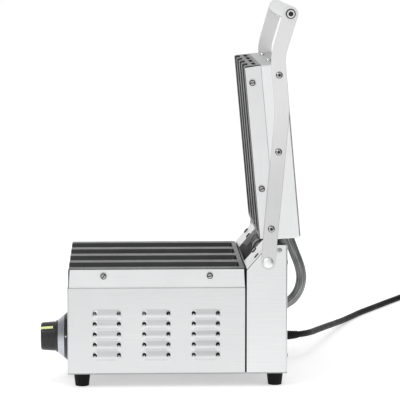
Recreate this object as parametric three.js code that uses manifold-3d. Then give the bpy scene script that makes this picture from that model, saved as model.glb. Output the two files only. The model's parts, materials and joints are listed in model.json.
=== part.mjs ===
// Contact grill: a base and a hinged lid, each with a ribbed cast-iron plate, and a mains lead.
// Millimetres, +Z up. The knob side faces -Y, the tower with the hinge stands at +Y.
// Until the last lines, y is measured from the front of the housing and z from the floor.
import * as THREE from 'three';
import { mergeVertices } from 'three/addons/utils/BufferGeometryUtils.js';
import Module from 'manifold-3d';

// Base housing
const bodyWidth = 280;
const bodyDepth = 234.4;
const footHeight = 18.9;
const panelHeight = 114.5;
const sheet = 1.2;
const seatGap = 0.3;
const cutRun = 5;
const cornerRadius = 2;
const cornerReturn = 4;
const plateLedge = 10;

// Louvres in the side panels
const louvrePitchY = 65.3;
const louvrePitchZ = 13.9;
const louvreSideMargin = 40;
const louvreTopMargin = 34.5;
const louvreBottomMargin = 22;
const louvreSlotLength = 37;
const louvreBridgeLength = 28;
const louvreHalfHeight = 4.6;
const louvreRise = 3;

// Cast plates
const baseCastHeight = 24.9;
const lidCastHeight = 21.6;
const plateFront = 1.2;
const plateRearGap = 0.8;
const slabThickness = 9.6;
const skirtWall = 6;
const ribCount = 5;
const ribEdge = 9.5;
const ribWidth = 21;
const grooveDepth = 6.5;
const grooveDraft = 1;
const grooveCorner = 4;
const rearWall = 7.4;
const edgeRise = 3;
const sideEdge = 3.2;
const frontEdge = 1.2;
const rearEdge = 2.1;
const plateCorner = 3;
const pocketDrop = 11.7;
const pocketHeight = 5;
const pocketDepth = 3;
const drainRadius = 5;
const drainFromFront = 13;

// Side trims over the cast plates
const trimDrop = 0.6;
const trimFrontInset = 0.8;
const trimRearInset = 1.6;
const trimSlant = 1.4;

// Tower
const towerSeam = 2.4;
const towerDepth = 53.9;
const slopeRun = 27.2;
const slopeCoverWidth = 70;
const slopeFlange = 8;
const bracketDrop = 47;

// Hinge
const pivotBehindFront = 27.9;
const pivotAbovePlate = 8.4;
const pivotBelowTop = 23.1;
const shaftRadius = 6;
const bushRadius = 8;
const bushFlangeRadius = 11;
const bushFlange = 2;
const runningGap = 0.3;
const collarRadius = 13;
const collarHalfWidth = 6;
const springRadius = 10;
const springWire = 1.5;
const springCurls = 11;
const capRadius = 6.5;
const capHeight = 3.8;
const openAngleDeg = 84.8;
const closedGap = 0.3;

// Lid, with reach measured forward from the pivot and height above it while closed
const lidTowerGap = 1.2;
const lidSetback = 3.3;
const lidCoverHeight = 32.3;
const lidBend = 2.5;
const insulationThickness = 14;
const insulationSide = 12;

// Arms and handle
const armGap = 0.4;
const armThickness = 4;
const armWidth = 19;
const armHandleWidth = 20;
const armBelowLidTop = 10;
const armElbowSetback = 62.2;
const armKneeOverhang = 8.8;
const handleOverhang = 62.9;
const handleAboveLidTop = 11.6;
const handleRadius = 10;
const handleScrewRadius = 6.4;
const handleScrewHead = 5;
const handleScrewShank = 3;
const handleScrewLength = 22;
const armScrewRadius = 4.5;
const armScrewHead = 2.6;
const armScrewInset = 15.2;

// Heating elements and what holds them
const elementRadius = 4;
const elementRunPitch = 60;
const elementRuns = 4;
const elementInset = 14;
const clampThickness = 2;
const clampWidth = 210;
const clampInset = 40;
const shieldDrop = 13;
const shieldFront = 30;

// Drip tray
const traySideMargin = 22.3;
const trayDepth = 120;
const trayDrop = 36.7;
const trayHeight = 17;
const trayFaceMargin = 1.8;
const trayFaceGap = 0.5;
const trayNotchRadius = 12;
const runnerLap = 5;
const runnerHeight = 14;

// Knob, thermostat and lamps
const knobFromSide = 53;
const knobRaise = 3.65;
const dialRadius = 32.2;
const dialRingRadius = 29.4;
const dialRingDepth = 4.5;
const dialTopRadius = 21.9;
const dialDepth = 13.8;
const dialBore = 9;
const knobFlangeRadius = 21.3;
const knobFlange = 2.1;
const gripRootRadius = 19.8;
const gripTipRadius = 18.6;
const gripReach = 36.6;
const gripRound = 3;
const pointerWidth = 2.4;
const pointerDepth = 1.2;
const pointerStand = 0.3;
const pointerAboveFlange = 4;
const pointerInnerRadius = 5;
const pointerAngleDeg = 44;
const thermostatShaftRadius = 3;
const thermostatWidth = 36;
const thermostatHeight = 40;
const thermostatDepth = 30;
const thermostatFlangeWidth = 50;
const shaftGripLength = 14;
const shaftSocketDepth = 12;
const lampX = -20;
const lampPitch = 30;
const lampRadius = 4.8;
const lampRimRadius = 6.2;
const lampRim = 1;
const lampDome = 1.3;
const lampBodyLength = 18;

// Feet
const footTopRadius = 11.2;
const footBottomRadius = 9.2;
const footFrontInset = 18.7;
const footRearInset = 15.2;
const footInset = 20;
const footHoleRadius = 4;
const footHoleDepth = 8;

// Hose between tower and lid
const hoseRadius = 6.8;
const hoseSides = 12;
const hoseSteps = 26;
const hoseBelowLidTop = 9.6;
const hoseBelowSeam = 48.2;
const hoseEntryDeg = 28;
const hoseGlandRadius = 8.9;
const hoseGlandLength = 4;
const hoseTuck = 5;
const hoseStraight = 2;
const hoseBow = 28.9;
const grommetBore = 9.4;
const grommetRadius = 12.4;
const grommetThickness = 2;

// Mains lead, its coil and its plug
const leadRadius = 4.5;
const leadSides = 8;
const leadSteps = 44;
const leadExitX = -58;
const leadExitZ = 34.5;
const reliefLength = 30;
const reliefNutRadius = 9.5;
const reliefNutLength = 5;
const reliefRootRadius = 7;
const reliefTipRadius = 5.2;
const coilRadius = 54;
const coilPitch = 9.7;
const coilTurns = 4;
const coilStepsPerTurn = 24;
const coilSides = 6;
const plugRadius = 18.4;
const plugSleeveLength = 36;
const plugSleeveRadius = 6;
const plugNeckLength = 14;
const plugBodyLength = 30;
const plugPinRadius = 2.4;
const plugPinLength = 19;
const plugPinPitch = 19;

const sideX = bodyWidth / 2;
const innerX = sideX - sheet;
const floorTop = footHeight + sheet;
const seamHeight = footHeight + panelHeight;
const plateTop = seamHeight + seatGap + baseCastHeight;
const plateWidth = 2 * (innerX - seatGap);
const towerFront = bodyDepth + towerSeam;
const towerRear = towerFront + towerDepth;
const plateDepth = towerFront - plateFront - plateRearGap;
const pivotY = towerFront + pivotBehindFront;
const pivotZ = plateTop + pivotAbovePlate;
const towerTop = pivotZ + pivotBelowTop;
const slopeFootZ = plateTop + seatGap;
const slopeTopY = towerFront + slopeRun;
const cookFace = plateTop + closedGap - pivotZ;
const lidRearReach = pivotY - towerFront + lidTowerGap;
const lidFrontReach = pivotY - plateFront - lidSetback;
const lidPlateDepth = lidFrontReach - lidRearReach;
const lidSeam = cookFace + lidCastHeight;
const lidTop = lidSeam + seatGap + lidCoverHeight;
const armRise = lidTop - armBelowLidTop;
const armElbowReach = lidFrontReach - armElbowSetback;
const armKneeReach = lidFrontReach + armKneeOverhang;
const handleReach = lidFrontReach + handleOverhang;
const handleRise = lidTop + handleAboveLidTop;
const hoseExitRise = lidTop - hoseBelowLidTop;
const hoseEntryZ = seamHeight - hoseBelowSeam;
const trayBottom = seamHeight - trayDrop;
const trayWidth = 2 * (innerX - traySideMargin);
const armInner = sideX + armGap;
const armOuter = armInner + armThickness;
const openAngle = THREE.MathUtils.degToRad(openAngleDeg);
const ribPitch = (plateWidth - 2 * ribEdge) / (ribCount - 1);
const grooveWidth = ribPitch - ribWidth;

const wasm = await Module();
wasm.setup();

function toSolid(geometry) {
  const bare = new THREE.BufferGeometry();
  bare.setAttribute('position', geometry.getAttribute('position'));
  if (geometry.index) bare.setIndex(geometry.index);
  const welded = mergeVertices(bare);
  return new wasm.Manifold(new wasm.Mesh({
    numProp: 3,
    vertProperties: new Float32Array(welded.getAttribute('position').array),
    triVerts: new Uint32Array(welded.index.array),
  }));
}

function toGeometry(solid) {
  const mesh = solid.getMesh();
  const geometry = new THREE.BufferGeometry();
  geometry.setAttribute('position', new THREE.BufferAttribute(new Float32Array(mesh.vertProperties), 3));
  geometry.setIndex(new THREE.BufferAttribute(new Uint32Array(mesh.triVerts), 1));
  geometry.computeVertexNormals();
  return geometry;
}

function join(first, ...others) {
  return toGeometry(others.reduce((solid, other) => solid.add(toSolid(other)), toSolid(first)));
}

function cut(first, ...cutters) {
  return toGeometry(cutters.reduce((solid, cutter) => solid.subtract(toSolid(cutter)), toSolid(first)));
}

// Mirrors a geometry across the plane x = 0 and keeps its faces pointing out.
function mirrored(geometry) {
  const copy = mergeVertices(new THREE.BufferGeometry()
    .setAttribute('position', geometry.getAttribute('position').clone())
    .setIndex(geometry.index ? geometry.index.clone() : null));
  copy.scale(-1, 1, 1);
  const index = copy.index.array;
  for (let i = 0; i < index.length; i += 3) {
    const kept = index[i];
    index[i] = index[i + 1];
    index[i + 1] = kept;
  }
  copy.computeVertexNormals();
  return copy;
}

function box(x0, x1, y0, y1, z0, z1) {
  const geometry = new THREE.BoxGeometry(x1 - x0, y1 - y0, z1 - z0);
  geometry.translate((x0 + x1) / 2, (y0 + y1) / 2, (z0 + z1) / 2);
  return geometry;
}

function shapeOf(points) {
  return new THREE.Shape(points.map(([a, b]) => new THREE.Vector2(a, b)));
}

// Extrusions of an outline: along X from (y, z), along Y from (x, z), along Z from (x, y).
const axisX = new THREE.Vector3(1, 0, 0);
const axisY = new THREE.Vector3(0, 1, 0);
const axisZ = new THREE.Vector3(0, 0, 1);

function extrudeX(shape, x0, x1) {
  const geometry = new THREE.ExtrudeGeometry(shape, { depth: x1 - x0, bevelEnabled: false });
  geometry.applyMatrix4(new THREE.Matrix4().makeBasis(axisY, axisZ, axisX));
  geometry.translate(x0, 0, 0);
  return geometry;
}

function extrudeY(shape, y0, y1) {
  const geometry = new THREE.ExtrudeGeometry(shape, { depth: y1 - y0, bevelEnabled: false });
  geometry.applyMatrix4(new THREE.Matrix4().makeBasis(axisX, axisZ, axisY.clone().negate()));
  geometry.translate(0, y1, 0);
  return geometry;
}

function extrudeZ(shape, z0, z1) {
  const geometry = new THREE.ExtrudeGeometry(shape, { depth: z1 - z0, bevelEnabled: false });
  geometry.translate(0, 0, z0);
  return geometry;
}

// Points on an arc round (a, b), both ends included.
function arc(a, b, radius, fromDeg, toDeg, steps, squash = 1) {
  return Array.from({ length: steps + 1 }, (_, i) => {
    const angle = THREE.MathUtils.degToRad(fromDeg + (toDeg - fromDeg) * i / steps);
    return [a + radius * Math.cos(angle), b + radius * squash * Math.sin(angle)];
  });
}

function circleShape(a, b, radius, steps) {
  return shapeOf(arc(a, b, radius, 0, 360, steps).slice(0, steps));
}

// A straight bar of round section from one point to another.
function rod(radius, from, to, sides) {
  const run = new THREE.Vector3().subVectors(to, from);
  const geometry = new THREE.CylinderGeometry(radius, radius, run.length(), sides);
  const turn = new THREE.Quaternion().setFromUnitVectors(axisY, run.clone().normalize());
  geometry.applyQuaternion(turn);
  geometry.translate(...new THREE.Vector3().addVectors(from, to).divideScalar(2).toArray());
  return geometry;
}

function rodX(radius, x0, x1, y, z, sides) {
  return rod(radius, new THREE.Vector3(x0, y, z), new THREE.Vector3(x1, y, z), sides);
}

function rodY(radius, y0, y1, x, z, sides) {
  return rod(radius, new THREE.Vector3(x, y0, z), new THREE.Vector3(x, y1, z), sides);
}

// A turned piece: the profile is a closed list of (radius, height), spun round +Z.
function turned(profile, sides) {
  const closed = [...profile, profile[0]].map(([radius, height]) => new THREE.Vector2(radius, height));
  const geometry = new THREE.LatheGeometry(closed, sides);
  geometry.rotateX(Math.PI / 2);
  return geometry;
}

// A turned piece whose height runs out of the front panel, towards -Y.
function turnedFront(profile, sides) {
  const geometry = turned(profile, sides);
  geometry.rotateX(Math.PI / 2);
  return geometry;
}

// A closed body through rings of equal length, counterclockwise seen from the last ring's side.
function loft(rings) {
  const count = rings[0].length;
  const positions = rings.flat().flatMap((point) => point.toArray());
  const index = [];
  for (let r = 0; r + 1 < rings.length; r += 1) {
    for (let j = 0; j < count; j += 1) {
      const a = r * count + j;
      const b = r * count + (j + 1) % count;
      index.push(a, b, b + count, a, b + count, a + count);
    }
  }
  const last = (rings.length - 1) * count;
  for (let j = 1; j + 1 < count; j += 1) {
    index.push(0, j + 1, j);
    index.push(last, last + j, last + j + 1);
  }
  const geometry = new THREE.BufferGeometry();
  geometry.setAttribute('position', new THREE.Float32BufferAttribute(positions, 3));
  geometry.setIndex(index);
  geometry.computeVertexNormals();
  return geometry;
}

// A rectangle with round corners as a ring at height z.
function roundedRing(x0, x1, y0, y1, z, radius, steps) {
  const corners = [
    [x1 - radius, y0 + radius, -90],
    [x1 - radius, y1 - radius, 0],
    [x0 + radius, y1 - radius, 90],
    [x0 + radius, y0 + radius, 180],
  ];
  return corners.flatMap(([x, y, start]) => arc(x, y, radius, start, start + 90, steps))
    .map(([x, y]) => new THREE.Vector3(x, y, z));
}

// A tube of changing radius along a list of points, its rings carried along without twist.
function sweep(points, radiusAt, sides, firstTangent, lastTangent) {
  const tangents = points.map((point, i) => {
    if (i === 0 && firstTangent) return firstTangent.clone().normalize();
    if (i === points.length - 1 && lastTangent) return lastTangent.clone().normalize();
    const before = points[Math.max(i - 1, 0)];
    const after = points[Math.min(i + 1, points.length - 1)];
    return new THREE.Vector3().subVectors(after, before).normalize();
  });
  const start = Math.abs(tangents[0].z) < Math.SQRT1_2 ? axisZ : axisX;
  let normal = start.clone().addScaledVector(tangents[0], -start.dot(tangents[0])).normalize();
  const rings = points.map((point, i) => {
    normal.addScaledVector(tangents[i], -normal.dot(tangents[i])).normalize();
    const side = new THREE.Vector3().crossVectors(tangents[i], normal);
    return Array.from({ length: sides }, (_, j) => {
      const angle = 2 * Math.PI * j / sides;
      return point.clone()
        .addScaledVector(normal, radiusAt(i) * Math.cos(angle))
        .addScaledVector(side, radiusAt(i) * Math.sin(angle));
    });
  });
  return loft(rings);
}

// Smallest gap between stretches of one tube that lie further apart along it than some turns' share.
function leastGap(points, radius, apart) {
  let least = Infinity;
  for (let i = 0; i < points.length; i += 1) {
    for (let j = i + apart; j < points.length; j += 1) {
      least = Math.min(least, points[i].distanceTo(points[j]));
    }
  }
  return least - 2 * radius;
}

function smoothstep(value) {
  const t = Math.min(Math.max(value, 0), 1);
  return t * t * (3 - 2 * t);
}

const finishes = {
  stainless: { color: 0xd6d7d9, roughness: 0.35, metalness: 0.9 },
  innerSteel: { color: 0x7f8182, roughness: 0.55, metalness: 0.8 },
  castIron: { color: 0x35363a, roughness: 0.75, metalness: 0.35 },
  bright: { color: 0xe4e5e6, roughness: 0.2, metalness: 1 },
  hose: { color: 0x7a7c7f, roughness: 0.45, metalness: 0.8 },
  element: { color: 0x4b4a48, roughness: 0.6, metalness: 0.6 },
  rubber: { color: 0x1c1c1d, roughness: 0.85, metalness: 0 },
  blackPlastic: { color: 0x252628, roughness: 0.45, metalness: 0 },
  silverFoil: { color: 0xa9abb2, roughness: 0.35, metalness: 0.7 },
  pointer: { color: 0xe2e696, roughness: 0.5, metalness: 0 },
  greenLens: { color: 0x2f8f4a, roughness: 0.25, metalness: 0 },
  amberLens: { color: 0xd98a1f, roughness: 0.25, metalness: 0 },
  ceramic: { color: 0xe9e5da, roughness: 0.9, metalness: 0 },
  brass: { color: 0xb9995a, roughness: 0.4, metalness: 0.9 },
  springSteel: { color: 0x4a4c50, roughness: 0.4, metalness: 0.9 },
};

function piece(name, geometry, finish) {
  const mesh = new THREE.Mesh(geometry, new THREE.MeshStandardMaterial(finishes[finish]));
  mesh.name = name;
  return mesh;
}

// Makes the right-hand piece as given and the left-hand one as its mirror image.
function pair(name, geometry, finish) {
  return [piece(`${name}_right`, geometry, finish), piece(`${name}_left`, mirrored(geometry), finish)];
}

// Side panel: a plate ledge along the top, a bent front corner and pressed-out bridge louvres.
function sidePanel() {
  const profile = shapeOf([
    [innerX, footHeight],
    [sideX, footHeight],
    [sideX, seamHeight],
    [sideX - plateLedge, seamHeight],
    [sideX - plateLedge, seamHeight - sheet],
    [innerX, seamHeight - sheet],
  ]);
  const web = extrudeY(profile, cornerRadius, bodyDepth);
  const corner = extrudeZ(shapeOf([
    [sideX - cornerReturn, 0],
    ...arc(sideX - cornerRadius, cornerRadius, cornerRadius, -90, 0, 4),
    [sideX, cornerRadius + sheet],
    [innerX, cornerRadius + sheet],
    ...arc(sideX - cornerRadius, cornerRadius, cornerRadius - sheet, 0, -90, 4),
    [sideX - cornerReturn, sheet],
  ]), footHeight, seamHeight);
  const slotHalf = louvreHalfHeight - sheet;
  const slotRun = louvreSlotLength / 2 - slotHalf;
  const slots = [];
  const bridges = [];
  const columns = 1 + Math.floor((bodyDepth - 2 * louvreSideMargin) / louvrePitchY);
  const rows = 1 + Math.floor((panelHeight - louvreTopMargin - louvreBottomMargin) / louvrePitchZ);
  for (let column = 0; column < columns; column += 1) {
    for (let row = 0; row < rows; row += 1) {
      const y = bodyDepth / 2 + (column - (columns - 1) / 2) * louvrePitchY;
      const z = seamHeight - louvreTopMargin - row * louvrePitchZ;
      slots.push(extrudeX(shapeOf([
        ...arc(y + slotRun, z, slotHalf, -90, 90, 4),
        ...arc(y - slotRun, z, slotHalf, 90, 270, 4),
      ]), innerX - cutRun, sideX + cutRun));
      bridges.push(louvreBridge(y, z));
    }
  }
  return join(cut(join(web, corner), ...slots), ...bridges);
}

// One louvre: a half tube pressed out of the panel and open at both ends.
function louvreBridge(y, z) {
  const outer = arc(sideX, z, louvreHalfHeight, 90, -90, 6).map(([x, height]) => [
    sideX + (x - sideX) * louvreRise / louvreHalfHeight, height]);
  const innerHalf = louvreHalfHeight - sheet;
  const inner = arc(sideX, z, innerHalf, -90, 90, 6).map(([x, height]) => [
    sideX + (x - sideX) * (louvreRise - sheet) / innerHalf, height]);
  const root = sideX - sheet / 2;
  return extrudeY(shapeOf([
    [root, z + louvreHalfHeight],
    ...outer,
    [root, z - louvreHalfHeight],
    [root, z - innerHalf],
    ...inner,
    [root, z + innerHalf],
  ]), y - louvreBridgeLength / 2, y + louvreBridgeLength / 2);
}

// Front panel between the side panels' bent corners, with the tray slot and the round holes.
const traySlotHalf = trayWidth / 2 + trayFaceMargin + trayFaceGap;
const traySlotBottom = trayBottom - trayFaceMargin - trayFaceGap;
const traySlotTop = trayBottom + trayHeight + trayFaceMargin + trayFaceGap;
const panelHalf = sideX - cornerReturn - seatGap;
const knobX = sideX - knobFromSide;
const knobZ = (floorTop + traySlotBottom) / 2 + knobRaise;

function frontPanel() {
  const shape = shapeOf([
    [-panelHalf, footHeight],
    [panelHalf, footHeight],
    [panelHalf, seamHeight],
    [-panelHalf, seamHeight],
  ]);
  shape.holes.push(shapeOf([
    [-traySlotHalf, traySlotBottom],
    [-traySlotHalf, traySlotTop],
    [traySlotHalf, traySlotTop],
    [traySlotHalf, traySlotBottom],
  ]));
  shape.holes.push(circleShape(knobX, knobZ, thermostatShaftRadius + 2 * runningGap, 12));
  for (const x of [lampX, lampX - lampPitch]) {
    shape.holes.push(circleShape(x, knobZ, lampRadius + seatGap, 16));
  }
  return extrudeY(shape, 0, sheet);
}

// Bottom plate under body and tower, with cooling slots.
const ventSlots = 6;
const ventPitch = 26;
const ventLength = 60;
const ventWidth = 6;
const ventFrontY = 70;
const ventRearY = 170;

function bottomPlate() {
  const half = innerX - seatGap;
  const shape = shapeOf([
    [-half, sheet + seatGap],
    [half, sheet + seatGap],
    [half, towerRear - sheet - seatGap],
    [-half, towerRear - sheet - seatGap],
  ]);
  const run = (ventLength - ventWidth) / 2;
  for (const y of [ventFrontY, ventRearY]) {
    for (let i = 0; i < ventSlots; i += 1) {
      const x = (i - (ventSlots - 1) / 2) * ventPitch;
      shape.holes.push(shapeOf([
        ...arc(x, y + run, ventWidth / 2, 0, 180, 4),
        ...arc(x, y - run, ventWidth / 2, 180, 360, 4),
      ]));
    }
  }
  return extrudeZ(shape, footHeight, floorTop);
}

// Cast plate in its own frame: front face at y = 0, rib tops at z = 0, hollow underside.
function castPlate(depth, height, drains) {
  const half = plateWidth / 2;
  const levels = [
    [-height, 0],
    [-edgeRise, 0],
    [-edgeRise / 3, 1 / 3],
    [0, 1],
  ];
  const block = loft(levels.map(([z, share]) => roundedRing(
    -half + sideEdge * share,
    half - sideEdge * share,
    frontEdge * share,
    depth - rearEdge * share,
    z,
    plateCorner,
    3,
  )));
  const cutters = [];
  for (let i = 0; i + 1 < ribCount; i += 1) {
    const x = (i - (ribCount - 2) / 2) * ribPitch;
    const rise = [[-grooveDepth, grooveDraft], [0, 0], [cutRun, 0]];
    cutters.push(loft(rise.map(([z, inset]) => roundedRing(
      x - grooveWidth / 2 + inset,
      x + grooveWidth / 2 - inset,
      -cutRun - grooveCorner,
      depth - rearWall - inset,
      z,
      grooveCorner,
      3,
    ))));
    cutters.push(box(
      x - grooveWidth / 2,
      x + grooveWidth / 2,
      -cutRun,
      pocketDepth,
      -pocketDrop - pocketHeight,
      -pocketDrop,
    ));
    if (drains) {
      const top = new THREE.Vector3(x, drainFromFront, 0);
      const bottom = new THREE.Vector3(x, drainFromFront, -height - cutRun);
      cutters.push(rod(drainRadius, bottom, top, 12));
    }
  }
  cutters.push(box(
    -half + skirtWall,
    half - skirtWall,
    skirtWall,
    depth - skirtWall,
    -height - cutRun,
    -grooveDepth - slabThickness,
  ));
  return cut(block, ...cutters);
}

// Trim over one side of a cast plate, in the plate's frame, its ends leaning in towards the ribs.
function plateTrim(depth, height) {
  return extrudeX(shapeOf([
    [trimFrontInset, -height],
    [depth - trimRearInset, -height],
    [depth - trimRearInset - trimSlant, -trimDrop],
    [trimFrontInset + trimSlant, -trimDrop],
  ]), innerX, sideX);
}

// Turns a casting's frame over, so that its ribs face down.
function turnedOver(geometry) {
  geometry.rotateY(Math.PI);
  return geometry;
}

const elementDrop = grooveDepth + slabThickness + seatGap + elementRadius;
const clampDrop = elementDrop + elementRadius + seatGap;

// Tubular heating element that runs to and fro under a casting, in the casting's frame.
function heatingElement(depth) {
  const front = skirtWall + elementInset;
  const rear = depth - skirtWall - elementInset;
  const bend = elementRunPitch / 2;
  const points = [];
  for (let run = 0; run < elementRuns; run += 1) {
    const x = (run - (elementRuns - 1) / 2) * elementRunPitch;
    const forward = run % 2 === 0;
    const from = forward ? rear - bend : front + bend;
    const to = forward ? front + bend : rear - bend;
    const first = run === 0 ? rear : from;
    const last = run === elementRuns - 1 ? rear : to;
    points.push([x, first], [x, (first + last) / 2], [x, last]);
    if (run === elementRuns - 1) break;
    const turn = arc(x + bend, to, bend, 180, forward ? 360 : 0, 6);
    points.push(...turn.slice(1, -1));
  }
  const path = points.map(([x, y]) => new THREE.Vector3(x, y, -elementDrop));
  return sweep(path, () => elementRadius, 8);
}

function clampPlate(depth) {
  return box(
    -clampWidth / 2,
    clampWidth / 2,
    clampInset,
    depth - clampInset,
    -clampDrop - clampThickness,
    -clampDrop,
  );
}

// Heat shield hung between the side panels' ledges.
function heatShield() {
  const half = sideX - plateLedge + 2 * sheet;
  const top = seamHeight - sheet - seatGap;
  const bottom = top - shieldDrop;
  return extrudeY(shapeOf([
    [-half, bottom],
    [half, bottom],
    [half, top],
    [half - sheet, top],
    [half - sheet, bottom + sheet],
    [-half + sheet, bottom + sheet],
    [-half + sheet, top],
    [-half, top],
  ]), shieldFront, bodyDepth - sheet);
}

// Angle rail on the side panel's inside that carries one edge of the tray.
function trayRunner() {
  const back = innerX - seatGap;
  const top = trayBottom - seatGap;
  return extrudeY(shapeOf([
    [trayWidth / 2 - runnerLap, top - sheet],
    [back, top - sheet],
    [back, top + runnerHeight],
    [back - sheet, top + runnerHeight],
    [back - sheet, top],
    [trayWidth / 2 - runnerLap, top],
  ]), sheet + seatGap, trayDepth + 2 * sheet);
}

// Drip tray: an open pan behind a flush face that has a finger notch.
function dripTray() {
  const half = trayWidth / 2;
  const pan = box(-half, half, sheet / 2, trayDepth, trayBottom, trayBottom + trayHeight);
  const faceHalf = half + trayFaceMargin;
  const faceTop = trayBottom + trayHeight + trayFaceMargin;
  const face = extrudeY(shapeOf([
    [-faceHalf, trayBottom - trayFaceMargin],
    [faceHalf, trayBottom - trayFaceMargin],
    [faceHalf, faceTop],
    [-faceHalf, faceTop],
  ]), 0, sheet);
  const hollow = box(-half + sheet, half - sheet, sheet, trayDepth - sheet, trayBottom + sheet, faceTop + cutRun);
  const notch = extrudeY(
    shapeOf(arc(0, faceTop + sheet, trayNotchRadius, 180, 360, 8)), -cutRun, sheet + cutRun);
  return cut(join(pan, face), hollow, notch);
}

// Black base ring and silver cone round the knob, standing on the front panel.
function dialRing() {
  return turnedFront([
    [dialBore, seatGap],
    [dialRadius, seatGap],
    [dialRingRadius, dialRingDepth],
    [dialBore, dialRingDepth],
  ], 32);
}

function dialCone() {
  const foot = dialRingDepth + seatGap;
  const share = (foot - dialRingDepth) / (dialDepth - dialRingDepth);
  const footRadius = THREE.MathUtils.lerp(dialRingRadius, dialTopRadius, share);
  return turnedFront([
    [dialBore, foot],
    [footRadius, foot],
    [dialTopRadius, dialDepth],
    [dialBore, dialDepth],
  ], 32);
}

// The grip's outline from its flange to its rounded tip, as (radius, distance from the panel).
const gripFoot = dialDepth + seatGap;

function gripOutline() {
  return [
    [knobFlangeRadius, gripFoot],
    [knobFlangeRadius, gripFoot + knobFlange],
    [gripRootRadius, gripFoot + knobFlange],
    ...arc(gripTipRadius - gripRound, gripReach - gripRound, gripRound, 0, 90, 4),
  ];
}

const knobBore = thermostatShaftRadius + seatGap;
const knobBoreTop = gripFoot + shaftGripLength;

function knobGrip() {
  const body = turnedFront([
    [knobBore, gripFoot],
    ...gripOutline(),
    [0, gripReach],
    [0, knobBoreTop],
    [knobBore, knobBoreTop],
  ], 32);
  return cut(body, pointerBar(seatGap));
}

// Pointer inlay from the grip's flange over its tip, or its groove when it is widened by a gap.
function pointerBar(widened) {
  const outline = gripOutline().slice(2);
  const foot = gripFoot + knobFlange + pointerAboveFlange;
  const raised = widened > 0 ? cutRun : pointerStand;
  const deep = pointerDepth + widened;
  const [tipRadius] = outline[outline.length - 1];
  const shape = shapeOf([
    [gripRootRadius - deep, foot - widened],
    [gripRootRadius + raised, foot - widened],
    [gripTipRadius + raised, gripReach - gripRound],
    [tipRadius + raised, gripReach + raised],
    [pointerInnerRadius - widened, gripReach + raised],
    [pointerInnerRadius - widened, gripReach - deep],
    [tipRadius - deep / 2, gripReach - deep],
    [gripTipRadius - deep, gripReach - gripRound],
  ]);
  const half = pointerWidth / 2 + widened;
  const geometry = new THREE.ExtrudeGeometry(shape, { depth: 2 * half, bevelEnabled: false });
  geometry.translate(0, 0, -half);
  geometry.applyMatrix4(new THREE.Matrix4().makeBasis(axisZ, axisY.clone().negate(), axisX));
  return geometry;
}

function thermostatBody() {
  const front = sheet + seatGap;
  const flange = box(
    -thermostatFlangeWidth / 2,
    thermostatFlangeWidth / 2,
    front,
    front + sheet,
    -thermostatWidth / 2,
    thermostatWidth / 2,
  );
  const body = box(
    -thermostatWidth / 2,
    thermostatWidth / 2,
    front,
    front + thermostatDepth,
    -thermostatHeight / 2,
    thermostatHeight / 2,
  );
  const socket = rodY(thermostatShaftRadius + runningGap, 0, front + shaftSocketDepth, 0, 0, 12);
  return cut(join(body, flange), socket);
}

function thermostatShaft() {
  const inner = sheet + shaftSocketDepth;
  return rodY(thermostatShaftRadius, -knobBoreTop + seatGap, inner, 0, 0, 12);
}

function pilotLamp() {
  return turnedFront([
    [0, -lampBodyLength],
    [lampRadius, -lampBodyLength],
    [lampRadius, seatGap],
    [lampRimRadius, seatGap],
    [lampRimRadius, lampRim],
    [lampRadius, lampRim],
    [lampRadius / 2, lampRim + lampDome * 3 / 4],
    [0, lampRim + lampDome],
  ], 12);
}

function foot() {
  return turned([
    [footHoleRadius, 0],
    [footBottomRadius - sheet, 0],
    [footBottomRadius, sheet],
    [footTopRadius, footHeight - seatGap],
    [0, footHeight - seatGap],
    [0, footHoleDepth],
    [footHoleRadius, footHoleDepth],
  ], 16);
}

// The tower's slope: its direction and the inward normal, in (y, z).
const slope = new THREE.Vector2(slopeTopY - towerFront, towerTop - slopeFootZ).normalize();
const slopeIn = new THREE.Vector2(slope.y, -slope.x);

// Where a line that lies some depth under the slope meets the front plane and the top plane.
function slopeUnder(depth, frontY, topZ) {
  const y = towerFront + slopeIn.x * depth;
  const z = slopeFootZ + slopeIn.y * depth;
  const footZ = z + (frontY - y) * slope.y / slope.x;
  const topY = y + (topZ - z) * slope.x / slope.y;
  return { footZ, topY };
}

function towerSide() {
  const { footZ, topY } = slopeUnder(sheet + seatGap, towerFront, towerTop);
  const shape = shapeOf([
    [towerFront, footHeight],
    [towerRear, footHeight],
    [towerRear, towerTop],
    [topY, towerTop],
    [towerFront, footZ],
  ]);
  shape.holes.push(circleShape(pivotY, pivotZ, bushRadius + seatGap, 20));
  return extrudeX(shape, innerX, sideX);
}

// Cover strip on the slope, with a folded edge along the window.
function slopeCover() {
  const foot = new THREE.Vector2(towerFront, slopeFootZ);
  const head = new THREE.Vector2(slopeTopY, towerTop);
  const under = (point, depth) => [point.x + slopeIn.x * depth, point.y + slopeIn.y * depth];
  const strip = extrudeX(
    shapeOf([under(foot, 0), under(foot, sheet), under(head, sheet), under(head, 0)]),
    sideX - slopeCoverWidth, sideX);
  const inset = sheet + seatGap;
  const low = foot.clone().addScaledVector(slope, slopeFlange);
  const high = head.clone().addScaledVector(slope, -inset);
  const fold = extrudeX(
    shapeOf([under(low, 0), under(low, slopeFlange), under(high, slopeFlange), under(high, 0)]),
    sideX - slopeCoverWidth, sideX - slopeCoverWidth + sheet);
  return join(strip, fold);
}

const towerInnerHalf = innerX - seatGap;

function towerFrontPanel() {
  const { footZ } = slopeUnder(sheet + seatGap, towerFront, towerTop);
  return box(-towerInnerHalf, towerInnerHalf, towerFront, towerFront + sheet, floorTop + seatGap, footZ);
}

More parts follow.
